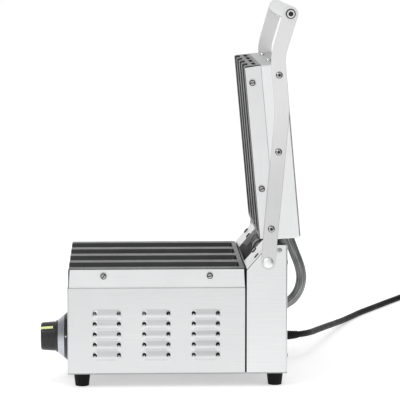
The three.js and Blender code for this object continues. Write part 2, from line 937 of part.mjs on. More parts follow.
function towerRearPanel() {
  const shape = shapeOf([
    [-towerInnerHalf, footHeight],
    [towerInnerHalf, footHeight],
    [towerInnerHalf, towerTop],
    [-towerInnerHalf, towerTop],
  ]);
  shape.holes.push(circleShape(0, hoseEntryZ, grommetBore, 16));
  shape.holes.push(circleShape(leadExitX, leadExitZ, leadRadius, 12));
  return extrudeY(shape, towerRear - sheet, towerRear);
}

// Inner hinge bracket beside the window, from the tower's front wall to its rear wall.
const bracketX = sideX - slopeCoverWidth + sheet + seatGap;

function hingeBracket() {
  const front = towerFront + sheet + seatGap;
  const rear = towerRear - sheet - seatGap;
  const top = towerTop - slopeFlange;
  const { footZ, topY } = slopeUnder(sheet + seatGap, front, top);
  const shape = shapeOf([
    [front, pivotZ - bracketDrop],
    [rear, pivotZ - bracketDrop],
    [rear, top],
    [topY, top],
    [front, footZ],
  ]);
  shape.holes.push(circleShape(pivotY, pivotZ, shaftRadius + 2 * runningGap, 16));
  return extrudeX(shape, bracketX, bracketX + 2 * sheet);
}

function hingeBush() {
  const bore = shaftRadius + runningGap;
  const inside = innerX - seatGap;
  const geometry = turned([
    [bore, inside - bushFlange],
    [bushFlangeRadius, inside - bushFlange],
    [bushFlangeRadius, inside],
    [bushRadius, inside],
    [bushRadius, sideX],
    [bore, sideX],
  ], 20);
  geometry.rotateY(Math.PI / 2);
  geometry.translate(0, pivotY, pivotZ);
  return geometry;
}

// Lid spring wound round the hinge shaft between its collar and the hinge bracket.
function springPath() {
  const wire = 2 * springWire;
  const bend = wire;
  const start = collarHalfWidth + seatGap + wire + bend;
  const end = bracketX - seatGap - wire - bend;
  const steps = springCurls * 8;
  const coil = Array.from({ length: steps + 1 }, (_, i) => {
    const angle = 2 * Math.PI * i / 8;
    return new THREE.Vector3(
      start + (end - start) * i / steps,
      pivotY + springRadius * Math.cos(angle),
      pivotZ + springRadius * Math.sin(angle),
    );
  });
  const leg = (point, along, away) => {
    const bent = arc(0, 0, bend, 0, 90, 3).map(([side, run]) => point.clone()
      .addScaledVector(along, run)
      .addScaledVector(away, bend - side));
    const last = bent[bent.length - 1].clone().addScaledVector(away, wire);
    return [...bent.slice(1), last];
  };
  const down = new THREE.Vector3(0, 0, -1);
  const inward = leg(coil[0], down, axisX.clone().negate());
  const outward = leg(coil[steps], axisZ, axisX);
  return [...inward.reverse(), ...coil, ...outward];
}

function lidSpring() {
  const path = springPath();
  return sweep(path, () => springWire, 5, axisX, axisX);
}

function hingeShaft() {
  const geometry = turned([
    [0, -armOuter],
    [shaftRadius, -armOuter],
    [shaftRadius, -collarHalfWidth],
    [collarRadius, -collarHalfWidth],
    [collarRadius, collarHalfWidth],
    [shaftRadius, collarHalfWidth],
    [shaftRadius, armOuter],
    [0, armOuter],
  ], 20);
  geometry.rotateY(Math.PI / 2);
  return geometry;
}

function pivotCap() {
  const dome = arc(0, 0, 1, 0, 90, 4).map(([radius, height]) => [
    capRadius * radius,
    armOuter + seatGap + capHeight * (1 + height) / 2,
  ]);
  const geometry = turned([[0, armOuter + seatGap], [capRadius, armOuter + seatGap], ...dome], 16);
  geometry.rotateY(Math.PI / 2);
  return geometry;
}

// In the lid's frame the pivot is the origin, forward is -Y and the pose is closed.
function lidCover() {
  const low = lidSeam + seatGap;
  const outer = [
    [low, 0],
    [lidTop - lidBend, 0],
    [lidTop - lidBend / 3, lidBend / 3],
    [lidTop, lidBend],
  ].map(([z, inset]) => roundedRing(
    -sideX + inset, sideX - inset, -lidFrontReach + inset, -lidRearReach - inset, z, lidBend, 3));
  const inner = [
    [low - cutRun, 0],
    [lidTop - lidBend, 0],
    [lidTop - sheet, lidBend - sheet],
  ].map(([z, inset]) => roundedRing(
    -innerX + inset, innerX - inset, -lidFrontReach + sheet + inset, -lidRearReach - sheet - inset,
    z, lidBend - sheet, 3));
  const hoseHole = rodY(hoseRadius + seatGap, -lidRearReach - cutRun, -lidRearReach + cutRun, 0, hoseExitRise, 16);
  return cut(loft(outer), loft(inner), hoseHole);
}

function lidInsulation() {
  const bottom = cookFace + clampDrop + clampThickness + seatGap;
  return box(
    -innerX + insulationSide,
    innerX - insulationSide,
    -lidFrontReach + insulationSide,
    -lidRearReach - insulationSide,
    bottom,
    bottom + insulationThickness,
  );
}

// Outline of a bar of changing width along a bent centre line, with round ends.
function bentBar(centres, halfWidths) {
  const points = centres.map(([a, b]) => new THREE.Vector2(a, b));
  const last = points.length - 1;
  const heading = (i) => points[Math.min(i + 1, last)].clone().sub(points[Math.min(i, last - 1)]).normalize();
  const side = (i, sign) => {
    const before = heading(Math.max(i - 1, 0));
    const after = heading(i);
    const mean = before.clone().add(after).normalize();
    const reach = halfWidths[i] / mean.dot(after);
    return [points[i].x - mean.y * reach * sign, points[i].y + mean.x * reach * sign];
  };
  const turnDeg = (vector) => THREE.MathUtils.radToDeg(Math.atan2(vector.y, vector.x));
  const startDeg = turnDeg(heading(0));
  const endDeg = turnDeg(heading(last));
  const between = points.slice(1, -1).map((_, i) => i + 1);
  return [
    ...arc(points[0].x, points[0].y, halfWidths[0], startDeg + 90, startDeg + 270, 8),
    ...between.map((i) => side(i, -1)),
    ...arc(points[last].x, points[last].y, halfWidths[last], endDeg - 90, endDeg + 90, 8),
    ...between.reverse().map((i) => side(i, 1)),
  ];
}

// Lid arm with its three round-head screws, each with a hexagon socket.
function lidArm() {
  const centres = [
    [0, 0],
    [armElbowReach, armRise],
    [armKneeReach, armRise],
    [handleReach, handleRise],
  ];
  const halves = [armWidth / 2, armWidth / 2, armWidth / 2, armHandleWidth / 2];
  const outline = bentBar(centres, halves).map(([reach, rise]) => [-reach, rise]);
  const shape = shapeOf(outline);
  shape.holes.push(circleShape(0, 0, shaftRadius + seatGap, 20));
  shape.holes.push(circleShape(-handleReach, handleRise, handleScrewShank + seatGap, 12));
  const rearReach = lidRearReach + armScrewInset;
  const frontReach = lidFrontReach - armScrewInset;
  const screws = [rearReach, (rearReach + frontReach) / 2, frontReach].map((reach) => {
    const rise = armRise * Math.min(reach / armElbowReach, 1);
    const head = turned([
      [0, -sheet],
      [armScrewRadius, -sheet],
      [armScrewRadius, armScrewHead / 3],
      [armScrewRadius * 2 / 3, armScrewHead],
      [0, armScrewHead],
    ], 16);
    head.rotateY(Math.PI / 2);
    head.translate(armOuter, -reach, rise);
    const socketFloor = armOuter + armScrewHead / 2;
    return cut(head, rodX(armScrewRadius / 3, socketFloor, armOuter + cutRun, -reach, rise, 6));
  });
  return join(extrudeX(shape, armInner, armOuter), ...screws);
}

function handleBar() {
  const half = armInner - seatGap;
  const bar = turned([
    [0, -half],
    [handleRadius - sheet, -half],
    [handleRadius, -half + sheet],
    [handleRadius, half - sheet],
    [handleRadius - sheet, half],
    [0, half],
  ], 24);
  bar.rotateY(Math.PI / 2);
  const bore = handleScrewShank + seatGap;
  const depth = half - handleScrewLength;
  return cut(bar, rodX(bore, depth, half + cutRun, 0, 0, 12), rodX(bore, -half - cutRun, -depth, 0, 0, 12));
}

function handleScrew() {
  const seat = armOuter + seatGap;
  const head = turned([
    [0, seat],
    [handleScrewRadius, seat],
    [handleScrewRadius, seat + handleScrewHead - sheet / 2],
    [handleScrewRadius - sheet / 2, seat + handleScrewHead],
    [0, seat + handleScrewHead],
  ], 20);
  head.rotateY(Math.PI / 2);
  const shank = rodX(handleScrewShank, armInner - handleScrewLength + 2 * seatGap, seat + sheet, 0, 0, 12);
  const socket = rodX(handleScrewShank, seat + handleScrewHead / 2, seat + 2 * handleScrewHead, 0, 0, 6);
  return cut(join(head, shank), socket);
}

// Threaded collar round the hose, its back on the sheet that the hose passes.
function hoseGland() {
  const bore = hoseRadius + seatGap;
  return turned([
    [bore, seatGap],
    [hoseGlandRadius, seatGap],
    [hoseGlandRadius, hoseGlandLength - sheet],
    [hoseGlandRadius - sheet / 2, hoseGlandLength],
    [bore, hoseGlandLength],
  ], 20);
}

// A point of the lid's frame where it stands while the lid is open.
function onOpenLid(reach, rise) {
  return new THREE.Vector3(0, -reach, rise)
    .applyAxisAngle(axisX, -openAngle)
    .add(new THREE.Vector3(0, pivotY, pivotZ));
}

// Ring of rubber round the hole where the hose slants into the tower.
function grommet() {
  return turned([
    [grommetBore, seatGap],
    [grommetRadius, seatGap],
    [grommetRadius - grommetThickness / 2, seatGap + grommetThickness],
    [grommetBore, seatGap + grommetThickness],
  ], 16);
}

// The hose's bow behind the tower: shares of its reach out and of its rise to the lid.
const hoseBowShares = [
  [0.55, 0.085],
  [0.72, 0.134],
  [0.845, 0.185],
  [0.93, 0.238],
  [1, 0.34],
  [0.965, 0.442],
  [0.85, 0.544],
  [0.69, 0.647],
  [0.535, 0.75],
  [0.385, 0.85],
];

// Hose route from inside the tower to inside the open lid.
function hosePath() {
  const entry = new THREE.Vector3(0, towerRear, hoseEntryZ);
  const slant = axisY.clone().applyAxisAngle(axisX, THREE.MathUtils.degToRad(hoseEntryDeg));
  const rise = onOpenLid(lidRearReach, hoseExitRise).z - hoseEntryZ;
  return new THREE.CatmullRomCurve3([
    entry.clone().addScaledVector(slant, -hoseTuck),
    entry,
    entry.clone().addScaledVector(slant, grommetThickness + 2 * hoseStraight),
    ...hoseBowShares.map(([out, up]) => new THREE.Vector3(0, towerRear + hoseBow * out, hoseEntryZ + rise * up)),
    onOpenLid(lidRearReach - hoseGlandLength - hoseStraight, hoseExitRise),
    onOpenLid(lidRearReach, hoseExitRise),
    onOpenLid(lidRearReach + sheet + hoseTuck, hoseExitRise),
  ], false, 'centripetal');
}

function hose() {
  const path = hosePath().getSpacedPoints(hoseSteps);
  const inTower = axisY.clone().applyAxisAngle(axisX, THREE.MathUtils.degToRad(hoseEntryDeg));
  const inLid = axisY.clone().negate().applyAxisAngle(axisX, -openAngle);
  return sweep(path, () => hoseRadius, hoseSides, inTower, inLid);
}

// Mains lead: out of the tower's rear wall, down to the floor and away behind the grill.
const leadRoute = [
  [-58, 291.2, 34.5],
  [-58, 296, 34.5],
  [-60.5, 308, 34.3],
  [-67.5, 319, 33.8],
  [-79, 328.5, 32.8],
  [-96, 337, 31.2],
  [-120, 345, 28.6],
  [-164, 357.5, 24.2],
  [-220, 373.5, 18.6],
  [-290, 393.5, 11.4],
  [-348, 412.5, 6.6],
  [-392, 429.5, 4.8],
  [-430, 447, 4.6],
  [-463, 464.6, 4.6],
  [-500, 484.6, 4.6],
  [-538, 505.2, 4.6],
  [-575, 525.8, 4.6],
  [-619, 550.2, 4.6],
];

const leadPoints = leadRoute.map((point) => new THREE.Vector3(...point));
const leadPath = new THREE.CatmullRomCurve3(leadPoints, false, 'centripetal');
const leadLength = leadPath.getLength();

// A stretch of the lead's route between two distances along it.
class LeadStretch extends THREE.Curve {
  constructor(from, to) {
    super();
    this.from = from / leadLength;
    this.to = to / leadLength;
  }

  getPoint(t) {
    return leadPath.getPointAt(THREE.MathUtils.lerp(this.from, this.to, t));
  }
}

// Rubber strain relief: a nut on the rear wall and a tapering sleeve that bends with the lead.
function strainRelief() {
  const steps = 12;
  const stretch = new LeadStretch(0, reliefLength);
  const path = stretch.getPoints(steps);
  const nutSteps = Math.max(Math.round(steps * reliefNutLength / reliefLength), 1);
  const radiusAt = (i) => {
    if (i <= nutSteps) return reliefNutRadius;
    return THREE.MathUtils.lerp(reliefRootRadius, reliefTipRadius, (i - nutSteps) / (steps - nutSteps));
  };
  return sweep(path, radiusAt, 12, axisY, stretch.getTangent(1));
}

function mainsLead() {
  const section = shapeOf(arc(0, 0, leadRadius, 0, 360, leadSides).slice(0, leadSides));
  return new THREE.ExtrudeGeometry(section, {
    extrudePath: new LeadStretch(reliefLength + seatGap, leadLength - seatGap),
    steps: leadSteps,
    bevelEnabled: false,
  });
}

// Coil of the spare lead: the turns spiral in on the floor, climb a layer and spiral out again.
const leadEnd = leadPath.getPointAt(1);
const leadHeading = leadPath.getTangentAt(1).setZ(0).normalize();
const coilToCentre = new THREE.Vector3(-leadHeading.y, leadHeading.x, 0).negate();
const coilStart = leadEnd.clone().addScaledVector(leadHeading, 2 * leadRadius);
const coilCentre = coilStart.clone().addScaledVector(coilToCentre, coilRadius);
const plugAxisZ = plugRadius + seatGap;

function coilPath() {
  const startAngle = Math.atan2(-coilToCentre.y, -coilToCentre.x);
  const steps = coilTurns * coilStepsPerTurn;
  const turns = Array.from({ length: steps + 1 }, (_, i) => {
    const turn = i / coilStepsPerTurn;
    const fromEnd = Math.min(turn, coilTurns - turn);
    const radius = coilRadius - coilPitch * fromEnd;
    const layer = smoothstep((turn - coilTurns / 2) * 2 + 1 / 2);
    const lift = smoothstep((turn - coilTurns) * 3 + 1);
    const top = leadEnd.z + coilPitch;
    const z = leadEnd.z + coilPitch * layer + (plugAxisZ - top) * lift;
    const angle = startAngle - 2 * Math.PI * turn;
    return new THREE.Vector3(
      coilCentre.x + radius * Math.cos(angle),
      coilCentre.y + radius * Math.sin(angle),
      z,
    );
  });
  const tail = turns[steps].clone().addScaledVector(leadHeading, 2 * leadRadius);
  return [leadEnd.clone(), ...turns, tail];
}

function leadCoil() {
  return sweep(coilPath(), () => leadRadius, coilSides, leadHeading, leadHeading);
}

// Plug with two round pins, turned along its lead and laid on its side beside the coil.
function mainsPlug() {
  const neck = plugSleeveLength;
  const face = neck + plugNeckLength + plugBodyLength;
  const body = turned([
    [0, seatGap],
    [reliefTipRadius, seatGap],
    [plugSleeveRadius, neck],
    [plugRadius * 0.8, neck + plugNeckLength * 0.6],
    [plugRadius, neck + plugNeckLength],
    [plugRadius, face - sheet],
    [plugRadius - sheet, face],
    [0, face],
  ], 24);
  const pins = [-1, 1].map((sign) => {
    const pin = turned([
      [0, -sheet],
      [plugPinRadius, -sheet],
      [plugPinRadius, plugPinLength - plugPinRadius],
      [plugPinRadius / 2, plugPinLength],
      [0, plugPinLength],
    ], 12);
    pin.translate(0, sign * plugPinPitch / 2, face);
    return pin;
  });
  const plug = join(body, ...pins);
  plug.rotateY(Math.PI / 2);
  plug.rotateZ(Math.atan2(leadHeading.y, leadHeading.x));
  const path = coilPath();
  plug.translate(...path[path.length - 1].toArray());
  return plug;
}

const coilGap = leastGap(coilPath(), leadRadius, coilStepsPerTurn / 2);
console.log(`lead coil: least gap to itself ${coilGap.toFixed(2)} mm`);
console.log(`lid springs: least gap between curls ${leastGap(springPath(), springWire, 6).toFixed(2)} mm`);
const coilPoints = coilPath();
const coilLength = coilPoints.slice(1).reduce((sum, point, i) => sum + point.distanceTo(coilPoints[i]), 0);
console.log(`mains lead: ${Math.round(leadLength + coilLength)} mm from the tower to its plug`);

// Base body
const base = new THREE.Group();
base.add(piece('bottom_plate', bottomPlate(), 'innerSteel'));
base.add(...pair('side_panel', sidePanel(), 'stainless'));
base.add(piece('front_panel', frontPanel(), 'stainless'));

const lowerPlate = new THREE.Group();
lowerPlate.position.set(0, plateFront, plateTop);
lowerPlate.add(piece('lower_plate', castPlate(plateDepth, baseCastHeight, true), 'castIron'));
lowerPlate.add(...pair('plate_trim', plateTrim(plateDepth, baseCastHeight), 'stainless'));
lowerPlate.add(piece('lower_element', heatingElement(plateDepth), 'element'));
lowerPlate.add(piece('lower_element_clamp', clampPlate(plateDepth), 'innerSteel'));
base.add(lowerPlate);

base.add(piece('heat_shield', heatShield(), 'innerSteel'));
base.add(...pair('tray_runner', trayRunner(), 'innerSteel'));

const dial = new THREE.Group();
dial.position.set(knobX, 0, knobZ);
dial.add(piece('dial_ring', dialRing(), 'blackPlastic'));
dial.add(piece('dial_cone', dialCone(), 'silverFoil'));
dial.add(piece('thermostat', thermostatBody(), 'ceramic'));
base.add(dial);

const lamps = [
  piece('pilot_lamp_heating', pilotLamp(), 'amberLens'),
  piece('pilot_lamp_power', pilotLamp(), 'greenLens'),
];
lamps.forEach((lamp, i) => {
  lamp.position.set(lampX - i * lampPitch, 0, knobZ);
  base.add(lamp);
});

for (const [side, sign] of [['left', -1], ['right', 1]]) {
  for (const [end, y] of [['front', footFrontInset], ['rear', towerRear - footRearInset]]) {
    const mesh = piece(`foot_${end}_${side}`, foot(), 'rubber');
    mesh.position.set(sign * (sideX - footInset), y, 0);
    base.add(mesh);
  }
}

base.add(...pair('tower_side', towerSide(), 'stainless'));
base.add(...pair('slope_cover', slopeCover(), 'stainless'));
base.add(piece('tower_front_panel', towerFrontPanel(), 'stainless'));
base.add(piece('tower_rear_panel', towerRearPanel(), 'stainless'));
base.add(...pair('hinge_bracket', hingeBracket(), 'innerSteel'));
base.add(...pair('hinge_bush', hingeBush(), 'brass'));
base.add(...pair('lid_spring', lidSpring(), 'springSteel'));

const terminalWidth = 60;
const terminalDepth = 22;
const terminalHeight = 18;
const terminalY = 262;
base.add(piece('terminal_block', box(
  leadExitX - terminalWidth / 2,
  leadExitX + terminalWidth / 2,
  terminalY - terminalDepth / 2,
  terminalY + terminalDepth / 2,
  floorTop + seatGap,
  floorTop + terminalHeight,
), 'ceramic'));

const towerGland = piece('hose_gland_tower', grommet(), 'rubber');
towerGland.position.set(0, towerRear, hoseEntryZ);
towerGland.rotation.x = -Math.PI / 2;
base.add(towerGland);
base.add(piece('wiring_hose', hose(), 'hose'));
base.add(piece('strain_relief', strainRelief(), 'rubber'));
base.add(piece('mains_lead', mainsLead(), 'rubber'));
base.add(piece('lead_coil', leadCoil(), 'rubber'));
base.add(piece('mains_plug', mainsPlug(), 'rubber'));

// Knob body, turned to the setting that it shows
const knob = new THREE.Group();
knob.position.set(knobX, 0, knobZ);
knob.rotation.y = THREE.MathUtils.degToRad(pointerAngleDeg);
knob.add(piece('knob_grip', knobGrip(), 'blackPlastic'));
knob.add(piece('knob_pointer', pointerBar(0), 'pointer'));
knob.add(piece('thermostat_shaft', thermostatShaft(), 'brass'));

const tray = piece('drip_tray', dripTray(), 'stainless');

// Lid body, opened about the pivot
const lid = new THREE.Group();
lid.position.set(0, pivotY, pivotZ);
lid.rotation.x = -openAngle;
lid.add(piece('lid_cover', lidCover(), 'stainless'));

const upperPlate = new THREE.Group();
upperPlate.position.set(0, -lidFrontReach, cookFace);
lid.add(upperPlate);
upperPlate.add(piece('upper_plate', turnedOver(castPlate(lidPlateDepth, lidCastHeight, false)), 'castIron'));
upperPlate.add(...pair('lid_trim', mirrored(turnedOver(plateTrim(lidPlateDepth, lidCastHeight))), 'stainless'));
upperPlate.add(piece('upper_element', turnedOver(heatingElement(lidPlateDepth)), 'element'));
upperPlate.add(piece('upper_element_clamp', turnedOver(clampPlate(lidPlateDepth)), 'innerSteel'));

lid.add(piece('lid_insulation', lidInsulation(), 'ceramic'));
lid.add(...pair('lid_arm', lidArm(), 'stainless'));
lid.add(piece('hinge_shaft', hingeShaft(), 'bright'));
lid.add(...pair('pivot_cap', pivotCap(), 'bright'));

const handle = new THREE.Group();
handle.position.set(0, -handleReach, handleRise);
handle.add(piece('handle_bar', handleBar(), 'stainless'));
handle.add(...pair('handle_screw', handleScrew(), 'bright'));
lid.add(handle);

const lidGland = piece('hose_gland_lid', hoseGland(), 'bright');
lidGland.position.set(0, -lidRearReach, hoseExitRise);
lidGland.rotation.x = -Math.PI / 2;
lid.add(lidGland);

// The whole grill, moved so that the origin lies on the floor under the middle of its box
const grill = new THREE.Group();
grill.add(base, knob, tray, lid);
grill.updateMatrixWorld(true);
const leadNodes = ['strain_relief', 'mains_lead', 'lead_coil', 'mains_plug'];
const extent = new THREE.Box3();
grill.traverse((node) => {
  if (node.isMesh && !leadNodes.includes(node.name)) {
    extent.union(new THREE.Box3().setFromObject(node, true));
  }
});
const middle = extent.getCenter(new THREE.Vector3());
grill.position.set(-middle.x, -middle.y, -extent.min.z);
console.log(`housing front at y = ${(-middle.y).toFixed(3)} mm`);

export default grill;
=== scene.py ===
"""A contact grill with its lid open, dressed round the packed model."""

import json
import math

import bpy
from mathutils import Matrix, Vector


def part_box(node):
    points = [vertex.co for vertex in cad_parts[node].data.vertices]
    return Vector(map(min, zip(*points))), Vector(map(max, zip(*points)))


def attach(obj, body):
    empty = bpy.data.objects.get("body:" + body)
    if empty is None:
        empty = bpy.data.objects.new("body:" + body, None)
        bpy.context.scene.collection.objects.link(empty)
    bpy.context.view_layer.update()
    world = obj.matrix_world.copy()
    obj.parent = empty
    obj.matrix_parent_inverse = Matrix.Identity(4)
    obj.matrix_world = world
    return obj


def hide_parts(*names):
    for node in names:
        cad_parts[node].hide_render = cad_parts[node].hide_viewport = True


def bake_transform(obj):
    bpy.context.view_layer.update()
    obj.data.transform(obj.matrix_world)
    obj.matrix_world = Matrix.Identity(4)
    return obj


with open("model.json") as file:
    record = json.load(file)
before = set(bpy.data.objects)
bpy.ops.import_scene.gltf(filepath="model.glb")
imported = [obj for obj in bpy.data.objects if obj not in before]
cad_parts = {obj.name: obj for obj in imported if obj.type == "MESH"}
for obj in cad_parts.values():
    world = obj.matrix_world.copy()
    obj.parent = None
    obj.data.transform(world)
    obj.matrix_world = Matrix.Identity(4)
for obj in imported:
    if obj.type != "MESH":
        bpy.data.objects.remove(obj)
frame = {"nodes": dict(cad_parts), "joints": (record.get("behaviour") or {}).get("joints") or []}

bl_info = {
    "name": "Contact Grill",
    "version": (1, 0, 0),
    "blender": (4, 5, 0),
    "location": "3D View > Sidebar > Grill",
    "description": "Builds the visible pieces of a countertop contact grill on its packed frame",
    "category": "Add Mesh",
}

ACROSS = Vector((1, 0, 0))
BACK = Vector((0, 1, 0))
UP = Vector((0, 0, 1))

# The housing's front face, and the hinge that the lid and its arms are measured from.
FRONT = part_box("front_panel")[0].y
HINGE = next(joint for joint in frame["joints"] if joint["name"] == "lid_hinge")
PIVOT = Vector(HINGE["pos_m"])
OPEN_ANGLE = math.radians(HINGE["range_deg"][1])
KNOB_AXIS = Vector(next(joint for joint in frame["joints"] if joint["name"] == "knob_turn")["pos_m"])
# Takes what is modelled round the hinge of a closed lid to the open lid.
LID = Matrix.Translation(PIVOT) @ Matrix.Rotation(-OPEN_ANGLE, 4, "X")
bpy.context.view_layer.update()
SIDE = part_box("side_panel_right")[1].x
TOWER_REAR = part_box("tower_rear_panel")[1].y - FRONT

# What is left free between a piece and the one that it sits on.
GAP = 0.0003
# How far a cutter reaches beyond what it cuts.
BEYOND = 0.005


def length(name, description, default):
    """A size in metres that the user can change."""
    return bpy.props.FloatProperty(
        name=name, description=description, default=default, unit="LENGTH", subtype="DISTANCE")


def degrees(name, description, default):
    """An angle in degrees that the user can change."""
    return bpy.props.FloatProperty(
        name=name, description=description, default=math.radians(default), subtype="ANGLE")


def share(name, description, default):
    """A number from 0 to 1 that the user can change."""
    return bpy.props.FloatProperty(
        name=name, description=description, default=default, min=0, max=1, subtype="FACTOR")


def colour(name, description, default):
    """A colour that the user can change."""
    return bpy.props.FloatVectorProperty(
        name=name, description=description, default=default, size=3, min=0, max=1, subtype="COLOR")


class HousingSizes(bpy.types.PropertyGroup):
    """Base housing: bent sheet sides with pressed louvres."""
    sheet: length("Sheet", "Thickness of the sheet steel", 0.0012)
    front_bend: length("Front bend", "Outer radius of the bend at a side panel's front edge", 0.002)
    front_return: length("Front return", "How far a side panel turns in across the front", 0.004)
    top_bend: length("Top bend", "Outer radius of the bend into the ledge under the casting", 0.0004)
    ledge: length("Ledge", "How far the ledge turns in under the casting", 0.010)
    foot_height: length("Foot height", "Height of the housing's lower edge above the floor", 0.0189)
    seam_height: length("Seam height", "Height of the ledge that the casting stands on", 0.13365)
    depth: length("Depth", "Depth of a side panel", 0.2344)
    louvre_pitch_y: length("Louvre pitch along", "Distance between louvre columns", 0.0653)
    louvre_pitch_z: length("Louvre pitch down", "Distance between louvre rows", 0.0139)
    louvre_top: length("Top row height", "Height of the top row's holes above the floor", 0.1003)
    louvre_rise: length("Louvre rise", "How far a louvre is pressed out", 0.003)
    louvre_crest: length("Louvre crest", "How far a louvre's crest lies under the middle of its holes", 0.0026)
    louvre_upper: length("Louvre upper flank", "Height of a louvre above its crest", 0.0076)
    louvre_lower: length("Louvre lower flank", "Height of a louvre below its crest", 0.0060)
    louvre_half: length("Louvre half length", "Half the length over which a louvre stands proud", 0.0195)
    hole_radius: length("Louvre hole radius", "Radius of the open hole at a louvre's end", 0.0028)
    hole_reach: length("Louvre hole distance", "Distance of a hole from the louvre's middle", 0.0159)
    tower_front: length("Tower front", "Distance of the tower's front wall from the housing's front", 0.2368)
    tower_top: length("Tower top", "Height of the tower above the floor", 0.1901)
    slope_foot: length("Slope foot", "Height of the slope's foot on a tower side", 0.1566)
    slope_head: length("Slope head", "Distance of the slope's head from the housing's front", 0.2660)
    tower_corner: length("Tower corner", "Radius of the tower's rear corners", 0.0026)
    hinge_hole: length("Hinge hole", "Radius of the hinge's hole in a tower side", 0.0083)


class PlateSizes(bpy.types.PropertyGroup):
    """The two ribbed castings."""
    width: length("Width", "Width of a casting", 0.277)
    lower_depth: length("Lower depth", "Depth of the lower casting", 0.2348)
    lower_height: length("Lower height", "Height of the lower casting", 0.0249)
    upper_depth: length("Upper depth", "Depth of the upper casting", 0.2311)
    upper_height: length("Upper height", "Height of the upper casting", 0.0216)
    edge_rise: length("Edge rise", "Height of the sloping edge round the top", 0.003)
    side_edge: length("Side edge", "How far the sloping edge runs in at the sides", 0.0032)
    front_edge: length("Front edge", "How far the sloping edge runs in at the front", 0.0012)
    rear_edge: length("Rear edge", "How far the sloping edge runs in at the rear", 0.0021)
    corner: length("Corner", "Radius of the casting's upright corners", 0.003)
    rib_pitch: length("Rib pitch", "Distance between ribs", 0.0645)
    rib_width: length("Rib width", "Width of a rib at its top", 0.021)
    groove_depth: length("Groove depth", "Depth of the grooves between the ribs", 0.0065)
    groove_draft: length("Groove draft", "How much narrower a groove is at its floor, each side", 0.001)
    groove_corner: length("Groove corner", "Radius of a groove's rear corners", 0.004)
    groove_fillet: length("Groove fillet", "Radius along a groove's floor", 0.0015)
    rear_wall: length("Rear wall", "Thickness of the wall that closes the grooves", 0.0074)
    pocket_drop: length("Pocket drop", "Depth of the front pockets below the rib tops", 0.0117)
    pocket_height: length("Pocket height", "Height of the front pockets", 0.005)
    pocket_depth: length("Pocket depth", "How far the front pockets run in", 0.003)
    drain_radius: length("Drain radius", "Radius of the lower casting's drain holes", 0.005)
    drain_from_front: length("Drain distance", "Distance of the drain holes from the front", 0.013)
    slab: length("Slab", "Thickness under the grooves", 0.0096)
    skirt: length("Skirt", "Thickness of the wall round the hollow underside", 0.006)
    rounding: length("Rounding", "Radius on the cast edges", 0.0006)


class LidSizes(bpy.types.PropertyGroup):
    """Lid cover, measured from the hinge while closed."""
    rear_reach: length("Rear reach", "Distance of the lid's rear edge in front of the hinge", 0.0291)
    front_reach: length("Front reach", "Distance of the lid's front edge in front of the hinge", 0.2602)
    cook_rise: length("Rib rise", "Height of the upper casting's ribs above the hinge", -0.0081)
    seam_rise: length("Seam rise", "Height of the cover's lower edge above the hinge", 0.01351)
    top_rise: length("Top rise", "Height of the cover's top above the hinge", 0.0461)
    bend: length("Bend", "Radius of the cover's bends", 0.0025)
    hose_rise: length("Hose rise", "Height of the hose's hole above the hinge", 0.0365)
    hose_hole: length("Hose hole", "Radius of the hose's hole", 0.0071)


class ArmSizes(bpy.types.PropertyGroup):
    """Flat lid arms, their screws and the handle bar."""
    inner: length("Inner face", "Distance of an arm's inner face from the middle", 0.1404)
    thickness: length("Thickness", "Thickness of an arm", 0.004)
    width: length("Width", "Width of an arm", 0.019)
    handle_width: length("Handle end width", "Width of an arm at the handle", 0.020)
    elbow_reach: length("Elbow reach", "Distance of the lower bend from the hinge", 0.198)
    knee_reach: length("Knee reach", "Distance of the upper bend from the hinge", 0.269)
    rise: length("Rise", "Height of the arm along the lid above the hinge", 0.0361)
    handle_reach: length("Handle reach", "Distance of the handle bar from the hinge", 0.3231)
    handle_rise: length("Handle rise", "Height of the handle bar above the hinge", 0.0577)
    edge: length("Edge", "Rounding of the arm's edges", 0.0004)
    bar_radius: length("Bar radius", "Radius of the handle bar", 0.010)
    bar_half: length("Bar half length", "Half the length of the handle bar", 0.1401)
    screw_radius: length("Screw radius", "Radius of the round arm screws", 0.0045)
    screw_height: length("Screw height", "Height of the round arm screws", 0.0029)
    cap_radius: length("Cap radius", "Radius of the domed pivot cap", 0.0069)
    cap_height: length("Cap height", "Height of the domed pivot cap", 0.0038)
    bolt_radius: length("Bolt radius", "Radius of the handle's socket screw head", 0.0064)
    bolt_height: length("Bolt height", "Height of the handle's socket screw head", 0.005)
    bolt_socket: length("Bolt socket", "Radius of that head's hexagon socket", 0.0036)
    bolt_hole: length("Bolt hole", "Radius of the hole for the socket screw", 0.0033)
    bolt_depth: length("Bolt depth", "Depth of the handle bar's bored ends", 0.022)
    pivot_hole: length("Pivot hole", "Radius of the hole for the hinge shaft", 0.0063)


class HingeSizes(bpy.types.PropertyGroup):
    """Hinge shaft and lid springs."""
    shaft_radius: length("Shaft radius", "Radius of the hinge shaft", 0.006)
    collar_radius: length("Collar radius", "Radius of the shaft's middle collar", 0.013)
    collar_half: length("Collar half width", "Half the width of the middle collar", 0.006)
    spring_radius: length("Spring radius", "Radius of the springs at the middle of their wire", 0.010)
    spring_wire: length("Spring wire", "Radius of the spring wire", 0.0015)
    spring_end: length("Spring end", "Distance of a spring's outer end from the middle", 0.0712)
    curls: bpy.props.IntProperty(name="Curls", description="Number of curls in a spring", default=11, min=1)


